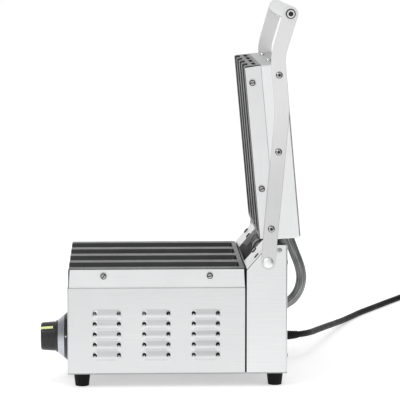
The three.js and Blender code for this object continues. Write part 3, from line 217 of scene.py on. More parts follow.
class KnobSizes(bpy.types.PropertyGroup):
    """Temperature knob, its dial and the pilot lamps."""
    ring_radius: length("Ring radius", "Outer radius of the black base ring", 0.0322)
    ring_top_radius: length("Ring top radius", "Radius at the base ring's top edge", 0.0294)
    ring_depth: length("Ring depth", "How far the base ring stands off the panel", 0.0045)
    bore: length("Bore", "Radius of the hole behind the grip", 0.009)
    cone_top_radius: length("Cone top radius", "Radius of the silver cone under the grip", 0.0219)
    cone_depth: length("Cone depth", "How far the silver cone stands off the panel", 0.0138)
    flange_radius: length("Flange radius", "Radius of the grip's flange", 0.0213)
    flange: length("Flange", "Thickness of the grip's flange", 0.0021)
    root_radius: length("Root radius", "Radius of the grip above its flange", 0.0198)
    tip_radius: length("Tip radius", "Radius of the grip at its tip", 0.0186)
    reach: length("Reach", "Distance of the grip's tip from the panel", 0.0366)
    round: length("Round", "Rounding of the grip's tip", 0.003)
    pointer_width: length("Pointer width", "Width of the pointer line", 0.0038)
    pointer_foot: length("Pointer foot", "Distance of the pointer's end from the grip's flange", 0.004)
    mark_angle: degrees("Mark angle", "Turn of the ring's mark from straight up", 82)
    pointer_angle: degrees("Pointer angle", "Turn of the pointer from straight up", 44)
    lamp_x: length("Lamp place", "Distance of the first pilot lamp from the middle", -0.020)
    lamp_pitch: length("Lamp pitch", "Distance between the pilot lamps", 0.030)
    lamp_radius: length("Lamp radius", "Radius of a pilot lamp's lens", 0.0048)
    lamp_rim_radius: length("Lamp rim radius", "Radius of a pilot lamp's rim", 0.0062)


class FootSizes(bpy.types.PropertyGroup):
    """Rubber feet."""
    bottom_radius: length("Bottom radius", "Radius of a foot at the floor", 0.0092)
    top_radius: length("Top radius", "Radius of a foot under the housing", 0.0112)
    height: length("Height", "Height of a foot", 0.0186)
    from_middle: length("From the middle", "Distance of a foot from the middle line", 0.120)
    front: length("Front", "Distance of the front feet from the housing's front", 0.0187)
    rear: length("Rear", "Distance of the rear feet from the housing's front", 0.2755)


class CordSizes(bpy.types.PropertyGroup):
    """Hose, mains lead and plug."""
    hose_radius: length("Hose radius", "Radius of the braided hose", 0.0070)
    strand: length("Strand rise", "How far the braid's strands stand proud", 0.00028)
    lead_radius: length("Lead radius", "Radius of the mains lead", 0.0045)
    coil_radius: length("Coil radius", "Radius of the lead's coil at its widest turn", 0.054)
    coil_pitch: length("Coil pitch", "Distance between the coil's turns", 0.0097)
    relief: length("Strain relief", "Length of the strain relief", 0.030)
    plug_radius: length("Plug radius", "Radius of the plug's body", 0.0184)
    plug_sleeve: length("Plug sleeve", "Length of the plug's sleeve", 0.036)
    plug_neck: length("Plug neck", "Length of the plug's neck", 0.014)
    plug_body: length("Plug body", "Length of the plug's body", 0.030)
    pin_radius: length("Pin radius", "Radius of a plug pin", 0.0024)
    pin_length: length("Pin length", "Length of a plug pin", 0.019)
    pin_pitch: length("Pin pitch", "Distance between the plug's pins", 0.019)
    turns: bpy.props.IntProperty(name="Turns", description="Turns in the lead's coil", default=4, min=1)


class ScrewSizes(bpy.types.PropertyGroup):
    """Small sheet-metal screws."""
    slotted_radius: length("Slotted radius", "Radius of the slotted trim screws", 0.0040)
    slotted_height: length("Slotted height", "Height of the slotted trim screws", 0.0019)
    small_radius: length("Small radius", "Radius of the small housing screws", 0.0030)
    small_height: length("Small height", "Height of the small housing screws", 0.0016)
    slope_radius: length("Slope screw radius", "Radius of the screws on the slope covers", 0.0032)
    slope_height: length("Slope screw height", "Height of the screws on the slope covers", 0.0022)
    end_radius: length("End screw radius", "Radius of the screws in the lid's front end", 0.0042)
    end_height: length("End screw height", "Height of the screws in the lid's front end", 0.0032)


class FinishColours(bpy.types.PropertyGroup):
    """Colours of the grill's materials."""
    stainless: colour("Stainless", "Brushed stainless sheet", (0.745, 0.75, 0.755))
    arm: colour("Arm steel", "Flat bar of the arms", (0.65, 0.65, 0.655))
    shaft: colour("Shaft steel", "Oiled hinge shaft and its collar", (0.20, 0.20, 0.20))
    # Painted light and shade: cap is the plating taken lighter as a painted highlight, screw is the plating taken
    # darker as a painted dark reflection.
    cap: colour("Cap", "Bright caps on the hinge", (0.92, 0.92, 0.92))
    screw: colour("Screws", "Plated screws", (0.44, 0.44, 0.445))
    inner: colour("Inner steel", "Plain sheet inside", (0.36, 0.36, 0.37))
    bright: colour("Bright", "Nickelled screws and caps", (0.76, 0.76, 0.77))
    iron: colour("Cast iron", "Seasoned castings", (0.013, 0.0135, 0.015))
    braid: colour("Braid", "Wire braid of the hose", (0.52, 0.525, 0.53))
    rubber: colour("Rubber", "Feet, lead and plug", (0.009, 0.009, 0.010))
    plastic: colour("Plastic", "Knob and dial ring", (0.017, 0.0173, 0.0185))
    silver: colour("Silver", "Foil on the dial's cone", (0.55, 0.56, 0.61))
    pointer: colour("Pointer", "Pointer line", (0.80, 0.84, 0.36))
    green: colour("Green lens", "Lens of the mains lamp", (0.02, 0.32, 0.08))
    amber: colour("Amber lens", "Lens of the heating lamp", (0.80, 0.30, 0.02))
    ceramic: colour("Ceramic", "Insulation and terminals", (0.72, 0.69, 0.62))
    brass: colour("Brass", "Bushes and thermostat shaft", (0.62, 0.45, 0.20))
    element: colour("Element", "Heat-darkened heating elements", (0.08, 0.078, 0.075))
    spring: colour("Spring steel", "Oiled spring wire", (0.16, 0.16, 0.17))
    mark: colour("Mark", "White mark on the dial's ring", (0.52, 0.52, 0.50))


class StageSettings(bpy.types.PropertyGroup):
    """Camera, floor and lights."""
    camera: bpy.props.FloatVectorProperty(
        name="Camera", description="Where the camera stands", default=(3.170, FRONT + 0.0706, 0.604), size=3,
        subtype="TRANSLATION")
    yaw: bpy.props.FloatProperty(
        name="Yaw", description="Turn of the view towards the rear", default=0.0344325, subtype="ANGLE")
    pitch: bpy.props.FloatProperty(
        name="Pitch", description="Tilt of the view from level", default=-0.1162097, subtype="ANGLE")
    lens: bpy.props.FloatProperty(name="Lens", description="Focal length in millimetres", default=209.17, min=1)
    floor: colour("Floor", "Colour of the pale floor", (0.80, 0.80, 0.80))
    floor_size: length("Floor size", "Side of the floor", 80.0)
    near_lift: share("Near floor lift", "White on top of the floor's own light round the grill", 0.46)
    near_shine: share("Near floor shine", "The same in reflections close beside the grill", 0.46)
    round_shine: share("Floor shine round the grill", "The same in reflections of the floor a step away", 0.20)
    far_lift: share("Far floor lift", "White on top of the floor's own light far from the grill", 0.58)
    ambient: share("Ambient", "Strength of the world's light on matt surfaces", 0.55)
    overhead_dark: share("Dark above", "How much darker reflections from above are", 0.27)
    side_dark: share("Dark sides", "How much darker reflections from the sides are", 0.60)
    front_card: share("Front card", "Brightness of the card that stands before the knob side", 0.42)
    rear_card: share("Rear card", "Brightness of the card that stands behind the tower", 0.08)


# Route of the mains lead from the tower's rear wall, from the middle, the housing's front and the floor.
LEAD_ROUTE = (
    (-0.058, 0.2912, 0.0345), (-0.058, 0.296, 0.0345), (-0.0605, 0.308, 0.0343), (-0.0675, 0.319, 0.0338),
    (-0.079, 0.3285, 0.0328), (-0.096, 0.337, 0.0312), (-0.120, 0.345, 0.0286), (-0.164, 0.3575, 0.0242),
    (-0.220, 0.3735, 0.0186), (-0.290, 0.3935, 0.0114), (-0.348, 0.4125, 0.0066), (-0.392, 0.4295, 0.0048),
    (-0.430, 0.447, 0.0046), (-0.463, 0.4646, 0.0046), (-0.500, 0.4846, 0.0046), (-0.538, 0.5052, 0.0046),
    (-0.575, 0.5258, 0.0046), (-0.619, 0.5502, 0.0046),
)

# Route of the hose from inside the tower to inside the open lid.
HOSE_ROUTE = (
    (0, 0.28629, 0.08285), (0, 0.2907, 0.0852), (0, 0.296, 0.08802), (0, 0.3066, 0.0949), (0, 0.31151, 0.10049),
    (0, 0.31512, 0.10631), (0, 0.31758, 0.11235), (0, 0.3196, 0.12399), (0, 0.31859, 0.13563), (0, 0.31527, 0.14727),
    (0, 0.31064, 0.15902), (0, 0.30616, 0.17077), (0, 0.30183, 0.18218), (0, 0.29895, 0.19331), (0, 0.29841, 0.19929),
    (0, 0.29785, 0.20546),
)


# --- Places and small geometry ---

def spot(x, y, z):
    """A point measured from the middle, the housing's front face and the floor."""
    return Vector((x, FRONT + y, z))


def curve_points(centre, radius, start, end, steps):
    """Points (a, b) on an arc, both ends included, with its angles in degrees."""
    angles = [math.radians(start + (end - start) * i / steps) for i in range(steps + 1)]
    return [(centre[0] + radius * math.cos(a), centre[1] + radius * math.sin(a)) for a in angles]


def smooth(value):
    """An even passage from 0 to 1 as the value goes from 0 to 1."""
    value = min(max(value, 0.0), 1.0)
    return value * value * (3 - 2 * value)


def catmull(points, step):
    """Points a step apart on the centripetal curve through the given ones."""
    ends = [2 * points[0] - points[1], *points, 2 * points[-1] - points[-2]]
    fine = []
    for p0, p1, p2, p3 in zip(ends, ends[1:], ends[2:], ends[3:]):
        d0, d1, d2 = (max((b - a).length ** 0.5, 1e-6) for a, b in ((p0, p1), (p1, p2), (p2, p3)))
        t1 = ((p1 - p0) / d0 - (p2 - p0) / (d0 + d1) + (p2 - p1) / d1) * d1
        t2 = ((p2 - p1) / d1 - (p3 - p1) / (d1 + d2) + (p3 - p2) / d2) * d1
        count = max(int((p2 - p1).length / step) * 4, 4)
        for i in range(count):
            t = i / count
            fine.append(
                p1 * (2 * t ** 3 - 3 * t ** 2 + 1) + t1 * (t ** 3 - 2 * t ** 2 + t)
                + p2 * (3 * t ** 2 - 2 * t ** 3) + t2 * (t ** 3 - t ** 2))
    fine.append(points[-1].copy())
    return evenly(fine, step)


def evenly(points, step):
    """The same line with its points about a step apart."""
    along = [0.0]
    for a, b in zip(points, points[1:]):
        along.append(along[-1] + (b - a).length)
    count = max(round(along[-1] / step), 1)
    even, j = [], 0
    for i in range(count + 1):
        target = along[-1] * i / count
        while j < len(points) - 2 and along[j + 1] < target:
            j += 1
        span = along[j + 1] - along[j]
        even.append(points[j].lerp(points[j + 1], (target - along[j]) / span if span else 0))
    return even


# --- Working with Blender's tools ---

def deselect_all():
    if bpy.context.mode != "OBJECT":
        bpy.ops.object.mode_set(mode="OBJECT")
    bpy.ops.object.select_all(action="DESELECT")


def only(piece):
    deselect_all()
    piece.select_set(True)
    bpy.context.view_layer.objects.active = piece


def edit(piece):
    """Opens a piece in edit mode with nothing selected."""
    only(piece)
    bpy.ops.object.mode_set(mode="EDIT")
    bpy.ops.mesh.select_mode(type="VERT")
    bpy.ops.mesh.select_all(action="DESELECT")


def pick(piece, kind, test):
    """Selects edges by their two ends, or faces by their middle and normal. The piece is in edit mode."""
    bpy.ops.mesh.select_mode(type={"edges": "EDGE", "polygons": "FACE"}[kind])
    bpy.ops.mesh.select_all(action="DESELECT")
    bpy.ops.object.mode_set(mode="OBJECT")
    for item in getattr(piece.data, kind):
        if kind == "edges":
            item.select = test(*(piece.data.vertices[v].co for v in item.vertices))
        else:
            item.select = test(item.center, item.normal)
    bpy.ops.object.mode_set(mode="EDIT")


def outward(piece):
    """Merges doubles and turns all faces outwards."""
    edit(piece)
    bpy.ops.mesh.select_all(action="SELECT")
    bpy.ops.mesh.remove_doubles(threshold=1e-6)
    bpy.ops.mesh.normals_make_consistent(inside=False)
    bpy.ops.object.mode_set(mode="OBJECT")


def finish(piece, kind, **settings):
    """Adds a modifier and applies it."""
    only(piece)
    bpy.ops.object.modifier_add(type=kind)
    modifier = piece.modifiers[-1]
    for name, value in settings.items():
        setattr(modifier, name, value)
    bpy.ops.object.modifier_apply(modifier=modifier.name)


def ease_edges(piece, width, segments=2, angle=35):
    """Rounds a piece's sharp edges."""
    finish(piece, "BEVEL", width=width, segments=segments, limit_method="ANGLE", angle_limit=math.radians(angle))


def carve(piece, *cutters):
    """Cuts pieces out of a piece and uses them up."""
    for cutter in cutters:
        finish(piece, "BOOLEAN", object=cutter, operation="DIFFERENCE", solver="EXACT")
        bpy.data.objects.remove(cutter)


def draw(name, points):
    """A row of joined vertices, drawn by extruding the first along the points. It stays in edit mode."""
    deselect_all()
    bpy.ops.mesh.primitive_plane_add(size=1)
    piece = bpy.context.active_object
    piece.name = piece.data.name = name
    bpy.ops.object.mode_set(mode="EDIT")
    bpy.ops.mesh.select_mode(type="VERT")
    bpy.ops.mesh.select_all(action="SELECT")
    bpy.ops.mesh.merge(type="CENTER")
    bpy.ops.transform.translate(value=points[0])
    for start, end in zip(points, points[1:]):
        bpy.ops.mesh.extrude_vertices_move(TRANSFORM_OT_translate={"value": end - start})
    return piece


def prism(name, outline, along):
    """A flat outline, extruded."""
    piece = draw(name, outline)
    bpy.ops.mesh.select_all(action="SELECT")
    bpy.ops.mesh.edge_face_add()
    bpy.ops.mesh.extrude_region_move(TRANSFORM_OT_translate={"value": along})
    bpy.ops.object.mode_set(mode="OBJECT")
    outward(piece)
    return piece


def turned(name, profile, centre, axis, steps=48, closed=False):
    """A profile of (radius, height) pairs, spun round an axis."""
    radial = axis.orthogonal().normalized()
    points = [centre + radial * radius + axis * height for radius, height in profile]
    if closed:
        points.append(points[0])
    piece = draw(name, points)
    bpy.ops.mesh.select_all(action="SELECT")
    bpy.ops.mesh.spin(steps=steps, angle=2 * math.pi, center=centre, axis=axis)
    bpy.ops.object.mode_set(mode="OBJECT")
    outward(piece)
    return piece


def block(name, low, high):
    """A box between two corners, as a start for a piece."""
    deselect_all()
    low, high = Vector(low), Vector(high)
    bpy.ops.mesh.primitive_cube_add(size=1, location=(low + high) / 2, scale=high - low)
    piece = bpy.context.active_object
    piece.name = piece.data.name = name
    bpy.ops.object.transform_apply(location=True, rotation=True, scale=True)
    return piece


def joined(pieces):
    """One object from several."""
    deselect_all()
    for piece in pieces:
        piece.select_set(True)
    bpy.context.view_layer.objects.active = pieces[0]
    bpy.ops.object.join()
    return pieces[0]


def moved(piece, place):
    """Puts a piece at a place and takes that into its mesh."""
    only(piece)
    piece.matrix_world = place
    bpy.ops.object.transform_apply(location=True, rotation=True, scale=True)
    return piece


def copied(piece, name, place):
    """A copy with its own mesh, put at a place."""
    only(piece)
    bpy.ops.object.duplicate()
    twin = bpy.context.active_object
    twin.name = twin.data.name = name
    return moved(twin, place)


def mirrored(piece, name):
    """The copy for the other side of the grill."""
    twin = copied(piece, name, Matrix.Scale(-1, 4, ACROSS))
    outward(twin)
    return twin


def facing(point, direction, spin=0.0):
    """The place of something modelled round +Z that is to face a direction."""
    turn = direction.to_track_quat("Z", "Y").to_matrix().to_4x4()
    return Matrix.Translation(point) @ turn @ Matrix.Rotation(spin, 4, "Z")


def settle(piece, body, slot, finish_name, *nodes, angle=35):
    """Shades a finished piece, gives it its material and puts it on its body in place of the CAD nodes."""
    only(piece)
    bpy.ops.object.shade_smooth_by_angle(angle=math.radians(angle))
    finish(piece, "WEIGHTED_NORMAL", keep_sharp=True)
    piece.data.materials.clear()
    piece.data.materials.append(material(finish_name))
    if body:
        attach(piece, body)
    if nodes:
        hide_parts(*nodes)
    return piece


def both_sides(right, stem, body, slot, finish_name, node, angle=35):
    """Settles a right-hand piece and its mirror image, named by a stem and standing for a pair of nodes."""
    left = mirrored(right, f"{stem}_left")
    for piece, side in ((right, "right"), (left, "left")):
        settle(piece, body, slot, finish_name, f"{node}_{side}", angle=angle)
    return right, left


def rod(name, radius, length, start, axis, steps):
    """A round cutter."""
    return turned(name, [(0, 0), (radius, 0), (radius, length), (0, length)], start, axis, steps)


def hexagon(name, radius, low, height):
    """A six-sided cutter that stands on z = low."""
    corners = [(radius * math.cos(math.pi * i / 3), radius * math.sin(math.pi * i / 3), low) for i in range(6)]
    return prism(name, [Vector(corner) for corner in corners], UP * height)


def tube(name, path, radius_at, sides):
    """A closed tube along a path, with a UV map that runs round and along it."""
    count = len(path)
    tangents = [(path[min(i + 1, count - 1)] - path[max(i - 1, 0)]).normalized() for i in range(count)]
    normal = tangents[0].orthogonal().normalized()
    verts, faces, along = [], [], [0.0]
    for i, (point, tangent) in enumerate(zip(path, tangents)):
        normal = (normal - tangent * normal.dot(tangent)).normalized()
        side = tangent.cross(normal)
        if i:
            along.append(along[-1] + (point - path[i - 1]).length)
        for j in range(sides):
            angle = 2 * math.pi * j / sides
            radius = radius_at(along[-1], angle)
            verts.append(point + (normal * math.cos(angle) + side * math.sin(angle)) * radius)
    for i in range(count - 1):
        for j in range(sides):
            k = (j + 1) % sides
            faces.append((i * sides + j, i * sides + k, (i + 1) * sides + k, (i + 1) * sides + j))
    faces.append(tuple(reversed(range(sides))))
    faces.append(tuple(range((count - 1) * sides, count * sides)))
    mesh = bpy.data.meshes.new(name)
    mesh.from_pydata(verts, [], faces)
    layer = mesh.uv_layers.new(name="UVMap")
    around = [2 * math.pi * j / sides for j in range(sides + 1)]
    loop = 0
    for i in range(count - 1):
        for j in range(sides):
            for u, v in ((j, i), (j + 1, i), (j + 1, i + 1), (j, i + 1)):
                layer.data[loop].uv = (around[u] / (2 * math.pi), along[v])
                loop += 1
    piece = bpy.data.objects.new(name, mesh)
    bpy.context.scene.collection.objects.link(piece)
    only(piece)
    return piece


# --- Materials ---

class Graph:
    """A node tree under construction, with short ways to add and join its nodes."""

    def __init__(self, tree):
        self.tree = tree
        self.coordinates = tree.nodes.new("ShaderNodeTexCoord")

    def join(self, value, socket):
        """Links a value to a socket, or makes it the socket's own."""
        if isinstance(value, bpy.types.NodeSocket):
            self.tree.links.new(value, socket)
        else:
            socket.default_value = (*value, 1) if socket.type == "RGBA" else value

    def add(self, kind, inputs=None, **settings):
        node = self.tree.nodes.new(kind)
        for name, value in settings.items():
            setattr(node, name, value)
        for name, value in (inputs or {}).items():
            self.join(value, node.inputs[name])
        return node

    def mapped(self, scale=(1, 1, 1), source="Object", turn=(0, 0, 0)):
        vector = self.coordinates.outputs[source]
        return self.add("ShaderNodeMapping", {"Vector": vector, "Scale": scale, "Rotation": turn}).outputs[0]

    def noise(self, scale, detail=3.0, roughness=0.55, distortion=0.0, vector=None):
        """Noise over the object's coordinates, or over a vector."""
        return self.add("ShaderNodeTexNoise", {
            "Vector": self.mapped() if vector is None else vector, "Scale": scale, "Detail": detail,
            "Roughness": roughness, "Distortion": distortion}).outputs[0]

    def spread(self, value, low, high, from_low=0.3, from_high=0.7, kind="LINEAR"):
        """Takes from_low to low and from_high to high."""
        return self.add("ShaderNodeMapRange", {
            "Value": value, "From Min": from_low, "From Max": from_high, "To Min": low, "To Max": high},
            interpolation_type=kind).outputs[0]

    def ramp(self, value, low, high, from_low, from_high):
        """The same with a soft start and end."""
        return self.spread(value, low, high, from_low, from_high, "SMOOTHSTEP")

    def blend(self, factor, first, second):
        return self.add("ShaderNodeMixRGB", {"Fac": factor, "Color1": first, "Color2": second}).outputs[0]

    def maths(self, operation, first, second=0.0):
        return self.add("ShaderNodeMath", {0: first, 1: second}, operation=operation).outputs[0]

    def product(self, first, second):
        return self.maths("MULTIPLY", first, second)

    def parts(self, vector):
        return self.add("ShaderNodeSeparateXYZ", {"Vector": vector}).outputs

    def rays(self, *names):
        """1 for rays of one of the given kinds, 0 for others."""
        path = self.add("ShaderNodeLightPath")
        total = path.outputs[names[0]]
        for name in names[1:]:
            total = self.maths("MAXIMUM", total, path.outputs[name])
        return total


class Finish(Graph):
    """A material under construction."""

    def __init__(self, name):
        self.material = bpy.data.materials.new(name)
        self.material.use_nodes = True
        super().__init__(self.material.node_tree)
        self.shader = self.tree.nodes["Principled BSDF"]

    def bump(self, height, strength, distance):
        return self.add("ShaderNodeBump", {"Height": height, "Strength": strength, "Distance": distance}).outputs[0]

    def set(self, **values):
        names = {"colour": "Base Color", "coat": "Coat Weight", "specular": "Specular IOR Level"}
        for name, value in values.items():
            socket = names.get(name, name.replace("_", " ").title())
            self.join(value, self.shader.inputs[socket])
        return self.material

    def surface(self, shader):
        """Takes a node for the whole surface."""
        self.join(shader.outputs[0], self.tree.nodes["Material Output"].inputs["Surface"])


def tinted(base, factor):
    """A lighter or darker colour of the same tone."""
    return tuple(min(c * factor, 1.0) for c in base)


def brushed(name, base, along, rough=0.34, painted_light_up=0.0):
    """Brushed metal whose grain runs along X, Y or up the open lid, perhaps with painted light that makes it lighter
    towards its top.
    """
    made = Finish(name)
    long_grain = 0.02
    stretch = {"x": (long_grain, 1, 1), "y": (1, long_grain, 1), "lid": (1, 1, long_grain)}[along]
    turn = (math.pi / 2 - OPEN_ANGLE, 0, 0) if along == "lid" else (0, 0, 0)
    lines = made.mapped(stretch, turn=turn)
    fine = made.noise(1600, 4, vector=lines)
    wide = made.noise(420, 3, vector=lines)
    # Painted reflection: soft darker patches, as a dark room would show in the sheet.
    reflection_cloud = made.noise(11, 2, 0.4, 0.6, made.mapped((1, 1, 1.6)))
    grain = made.maths("ADD", made.product(fine, 0.45), made.product(wide, 0.55))
    tone = made.blend(made.spread(grain, 0, 1, 0.32, 0.68), tinted(base, 0.94), tinted(base, 1.03))
    tone = made.blend(made.spread(reflection_cloud, 0, 0.5, 0.36, 0.62), tone, tinted(base, 0.93))
    height = made.parts(made.coordinates.outputs["Object"])[2]
    if along == "y":
        # The shade along the lower edge of the standing sheets.
        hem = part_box("side_panel_right")[0].z
        hem_full, hem_end, hem_shade = 0.0009, 0.0019, 0.42
        tone = made.blend(made.ramp(height, 1, 0, hem + hem_full, hem + hem_end), tone, tinted(base, hem_shade))
    # Painted light: the sheet is taken lighter above a height, as light falls on its upper part.
    if painted_light_up:
        lit_from, lit_to = 0.24, 0.40
        tone = made.blend(made.ramp(height, 0, 1, lit_from, lit_to), tone, tinted(base, 1 + painted_light_up))
    return made.set(
        colour=tone, metallic=1.0, roughness=made.spread(grain, rough - 0.05, rough + 0.06),
        normal=made.bump(grain, 0.06, 0.0002))


def cast_iron(name, base):
    """Sand-cast iron, seasoned black, a little greyer and smoother where it is rubbed."""
    made = Finish(name)
    sand = made.noise(900, 5, 0.6)
    stain = made.noise(22, 4, 0.6, 0.8)
    tone = made.blend(made.spread(sand, 0, 1), tinted(base, 0.75), tinted(base, 1.35))
    tone = made.blend(made.spread(stain, 0, 0.6, 0.45, 0.7), tone, tinted(base, 1.7))
    return made.set(
        colour=tone, roughness=made.spread(stain, 0.38, 0.30), specular=0.6, normal=made.bump(sand, 0.30, 0.0004))


def polished(name, base, rough=0.2):
    """Plated or turned metal with faint handling marks."""
    made = Finish(name)
    marks = made.noise(420, 4, 0.6)
    rubbed = made.noise(60, 3)
    tone = made.blend(made.spread(marks, 0, 0.8), base, tinted(base, 0.88))
    return made.set(
        colour=tone, metallic=1.0, roughness=made.spread(rubbed, rough - 0.05, rough + 0.10),
        normal=made.bump(marks, 0.06, 0.0002))


def moulded(name, base, rough=0.4, specular=0.5, grain=1400, depth=0.00015):
    """Moulded plastic or rubber with a fine skin."""
    made = Finish(name)
    skin = made.noise(grain, 4, 0.6)
    wear = made.noise(45, 3, 0.5)
    tone = made.blend(made.spread(wear, 0, 0.7), base, tinted(base, 1.5))
    return made.set(
        colour=tone, roughness=made.spread(wear, rough - 0.06, rough + 0.08), specular=specular,
        normal=made.bump(skin, 0.3, depth))


def braided(name, base):
    """Wire braid drawn long, so that its strands run almost along the hose. It reads the hose's UV map."""
    made = Finish(name)
    around, along, _ = made.parts(made.coordinates.outputs["UV"])
    across, down, wires_round = 7.0, 9.0, 88

    def wave(value, per_turn=1):
        return made.maths("SINE", made.product(value, 2 * math.pi * per_turn))

    strands = []
    for sign in ("ADD", "SUBTRACT"):
        turns = made.maths(sign, made.product(around, across), made.product(along, down))
        strands.append(made.maths("ABSOLUTE", wave(turns)))
    weave = made.maths("MAXIMUM", *strands)
    streaks = made.noise(1, 3, 0.6, vector=made.mapped((16, 7, 1), source="UV"))
    wires = wave(around, wires_round)
    tone = made.blend(made.spread(weave, 0, 1, 0.62, 1.0), tinted(base, 0.32), base)
    tone = made.blend(made.spread(streaks, 0, 0.95, 0.42, 0.58), tone, tinted(base, 0.26))
    tone = made.blend(made.spread(wires, 0, 0.3, -1, 1), tone, tinted(base, 0.5))
    return made.set(
        colour=tone, metallic=0.9, roughness=0.40, normal=made.bump(made.maths("ADD", weave, wires), 0.3, 0.0003))


def lens(name, base):
    """Ribbed lamp lens of coloured plastic."""
    made = Finish(name)
    wave = made.noise(500, 2)
    tone = made.blend(made.spread(wave, 0, 1), tinted(base, 0.8), tinted(base, 1.25))
    return made.set(
        colour=tone, roughness=made.spread(wave, 0.10, 0.20), coat=0.6, coat_roughness=0.05,
        normal=made.bump(wave, 0.1, 0.0002))


def fibre(name, base):
    """Unglazed ceramic or pressed mineral fibre."""
    made = Finish(name)
    pores = made.noise(700, 5, 0.7)
    tone = made.blend(made.spread(pores, 0, 1), tinted(base, 0.82), base)
    return made.set(colour=tone, roughness=made.spread(pores, 0.75, 0.95), normal=made.bump(pores, 0.4, 0.0004))


# Each finish: its maker, its colour, how much lighter or darker that is taken, and what else the maker is told.
FINISHES = {
    # Painted light and shade: sheet_side, sheet_slope, sheet_end, sheet_lid and sheet_lid_trim are one stainless taken
    # lighter or darker piece by piece, as light and reflections fall on each.
    "sheet_along": (brushed, "stainless", 1, "y"),
    "sheet_side": (brushed, "stainless", 0.93, "y"),
    "sheet_slope": (brushed, "stainless", 1.12, "x"),
    "sheet_end": (brushed, "stainless", 0.72, "x", 0.40),
    "sheet_across": (brushed, "stainless", 1, "x"),
    "sheet_lid": (brushed, "stainless", 1.07, "lid", 0.34, 0.02),
    "sheet_lid_trim": (brushed, "stainless", 1.02, "lid"),
    "arm_bar": (brushed, "arm", 1, "lid", 0.36, 0.18),
    "handle_satin": (brushed, "stainless", 1, "x", 0.30),
    "inner_sheet": (brushed, "inner", 1, "x", 0.46),
    "plated": (polished, "bright", 1),
    "screw_plate": (polished, "screw", 1, 0.15),
    "silver_foil": (polished, "silver", 1, 0.34),
    "turned_brass": (polished, "brass", 1, 0.3),
    "dark_element": (polished, "element", 1, 0.5),
    "spring_wire": (polished, "spring", 1, 0.34),
    "oiled_shaft": (polished, "shaft", 1, 0.36),
    "cap_plate": (polished, "cap", 1, 0.48),
    "iron": (cast_iron, "iron", 1),
    "wire_braid": (braided, "braid", 1),
    "black_rubber": (moulded, "rubber", 1, 0.52, 0.12, 1100, 0.0002),
    "dial_black": (moulded, "plastic", 1, 0.30, 0.4),
    "pointer_paint": (moulded, "pointer", 1, 0.45),
    "white_mark": (moulded, "mark", 1, 0.5),
    "green_lamp": (lens, "green", 1),
    "amber_lamp": (lens, "amber", 1),
    "white_fibre": (fibre, "ceramic", 1),
}


def material(name):
    """A finish by its name, made when it is first needed."""
    found = bpy.data.materials.get(name)
    if found:
        return found
    maker, base, factor, *more = FINISHES[name]
    return maker(name, tinted(getattr(bpy.context.scene.grill_colours, base), factor), *more)


# --- Stage ---

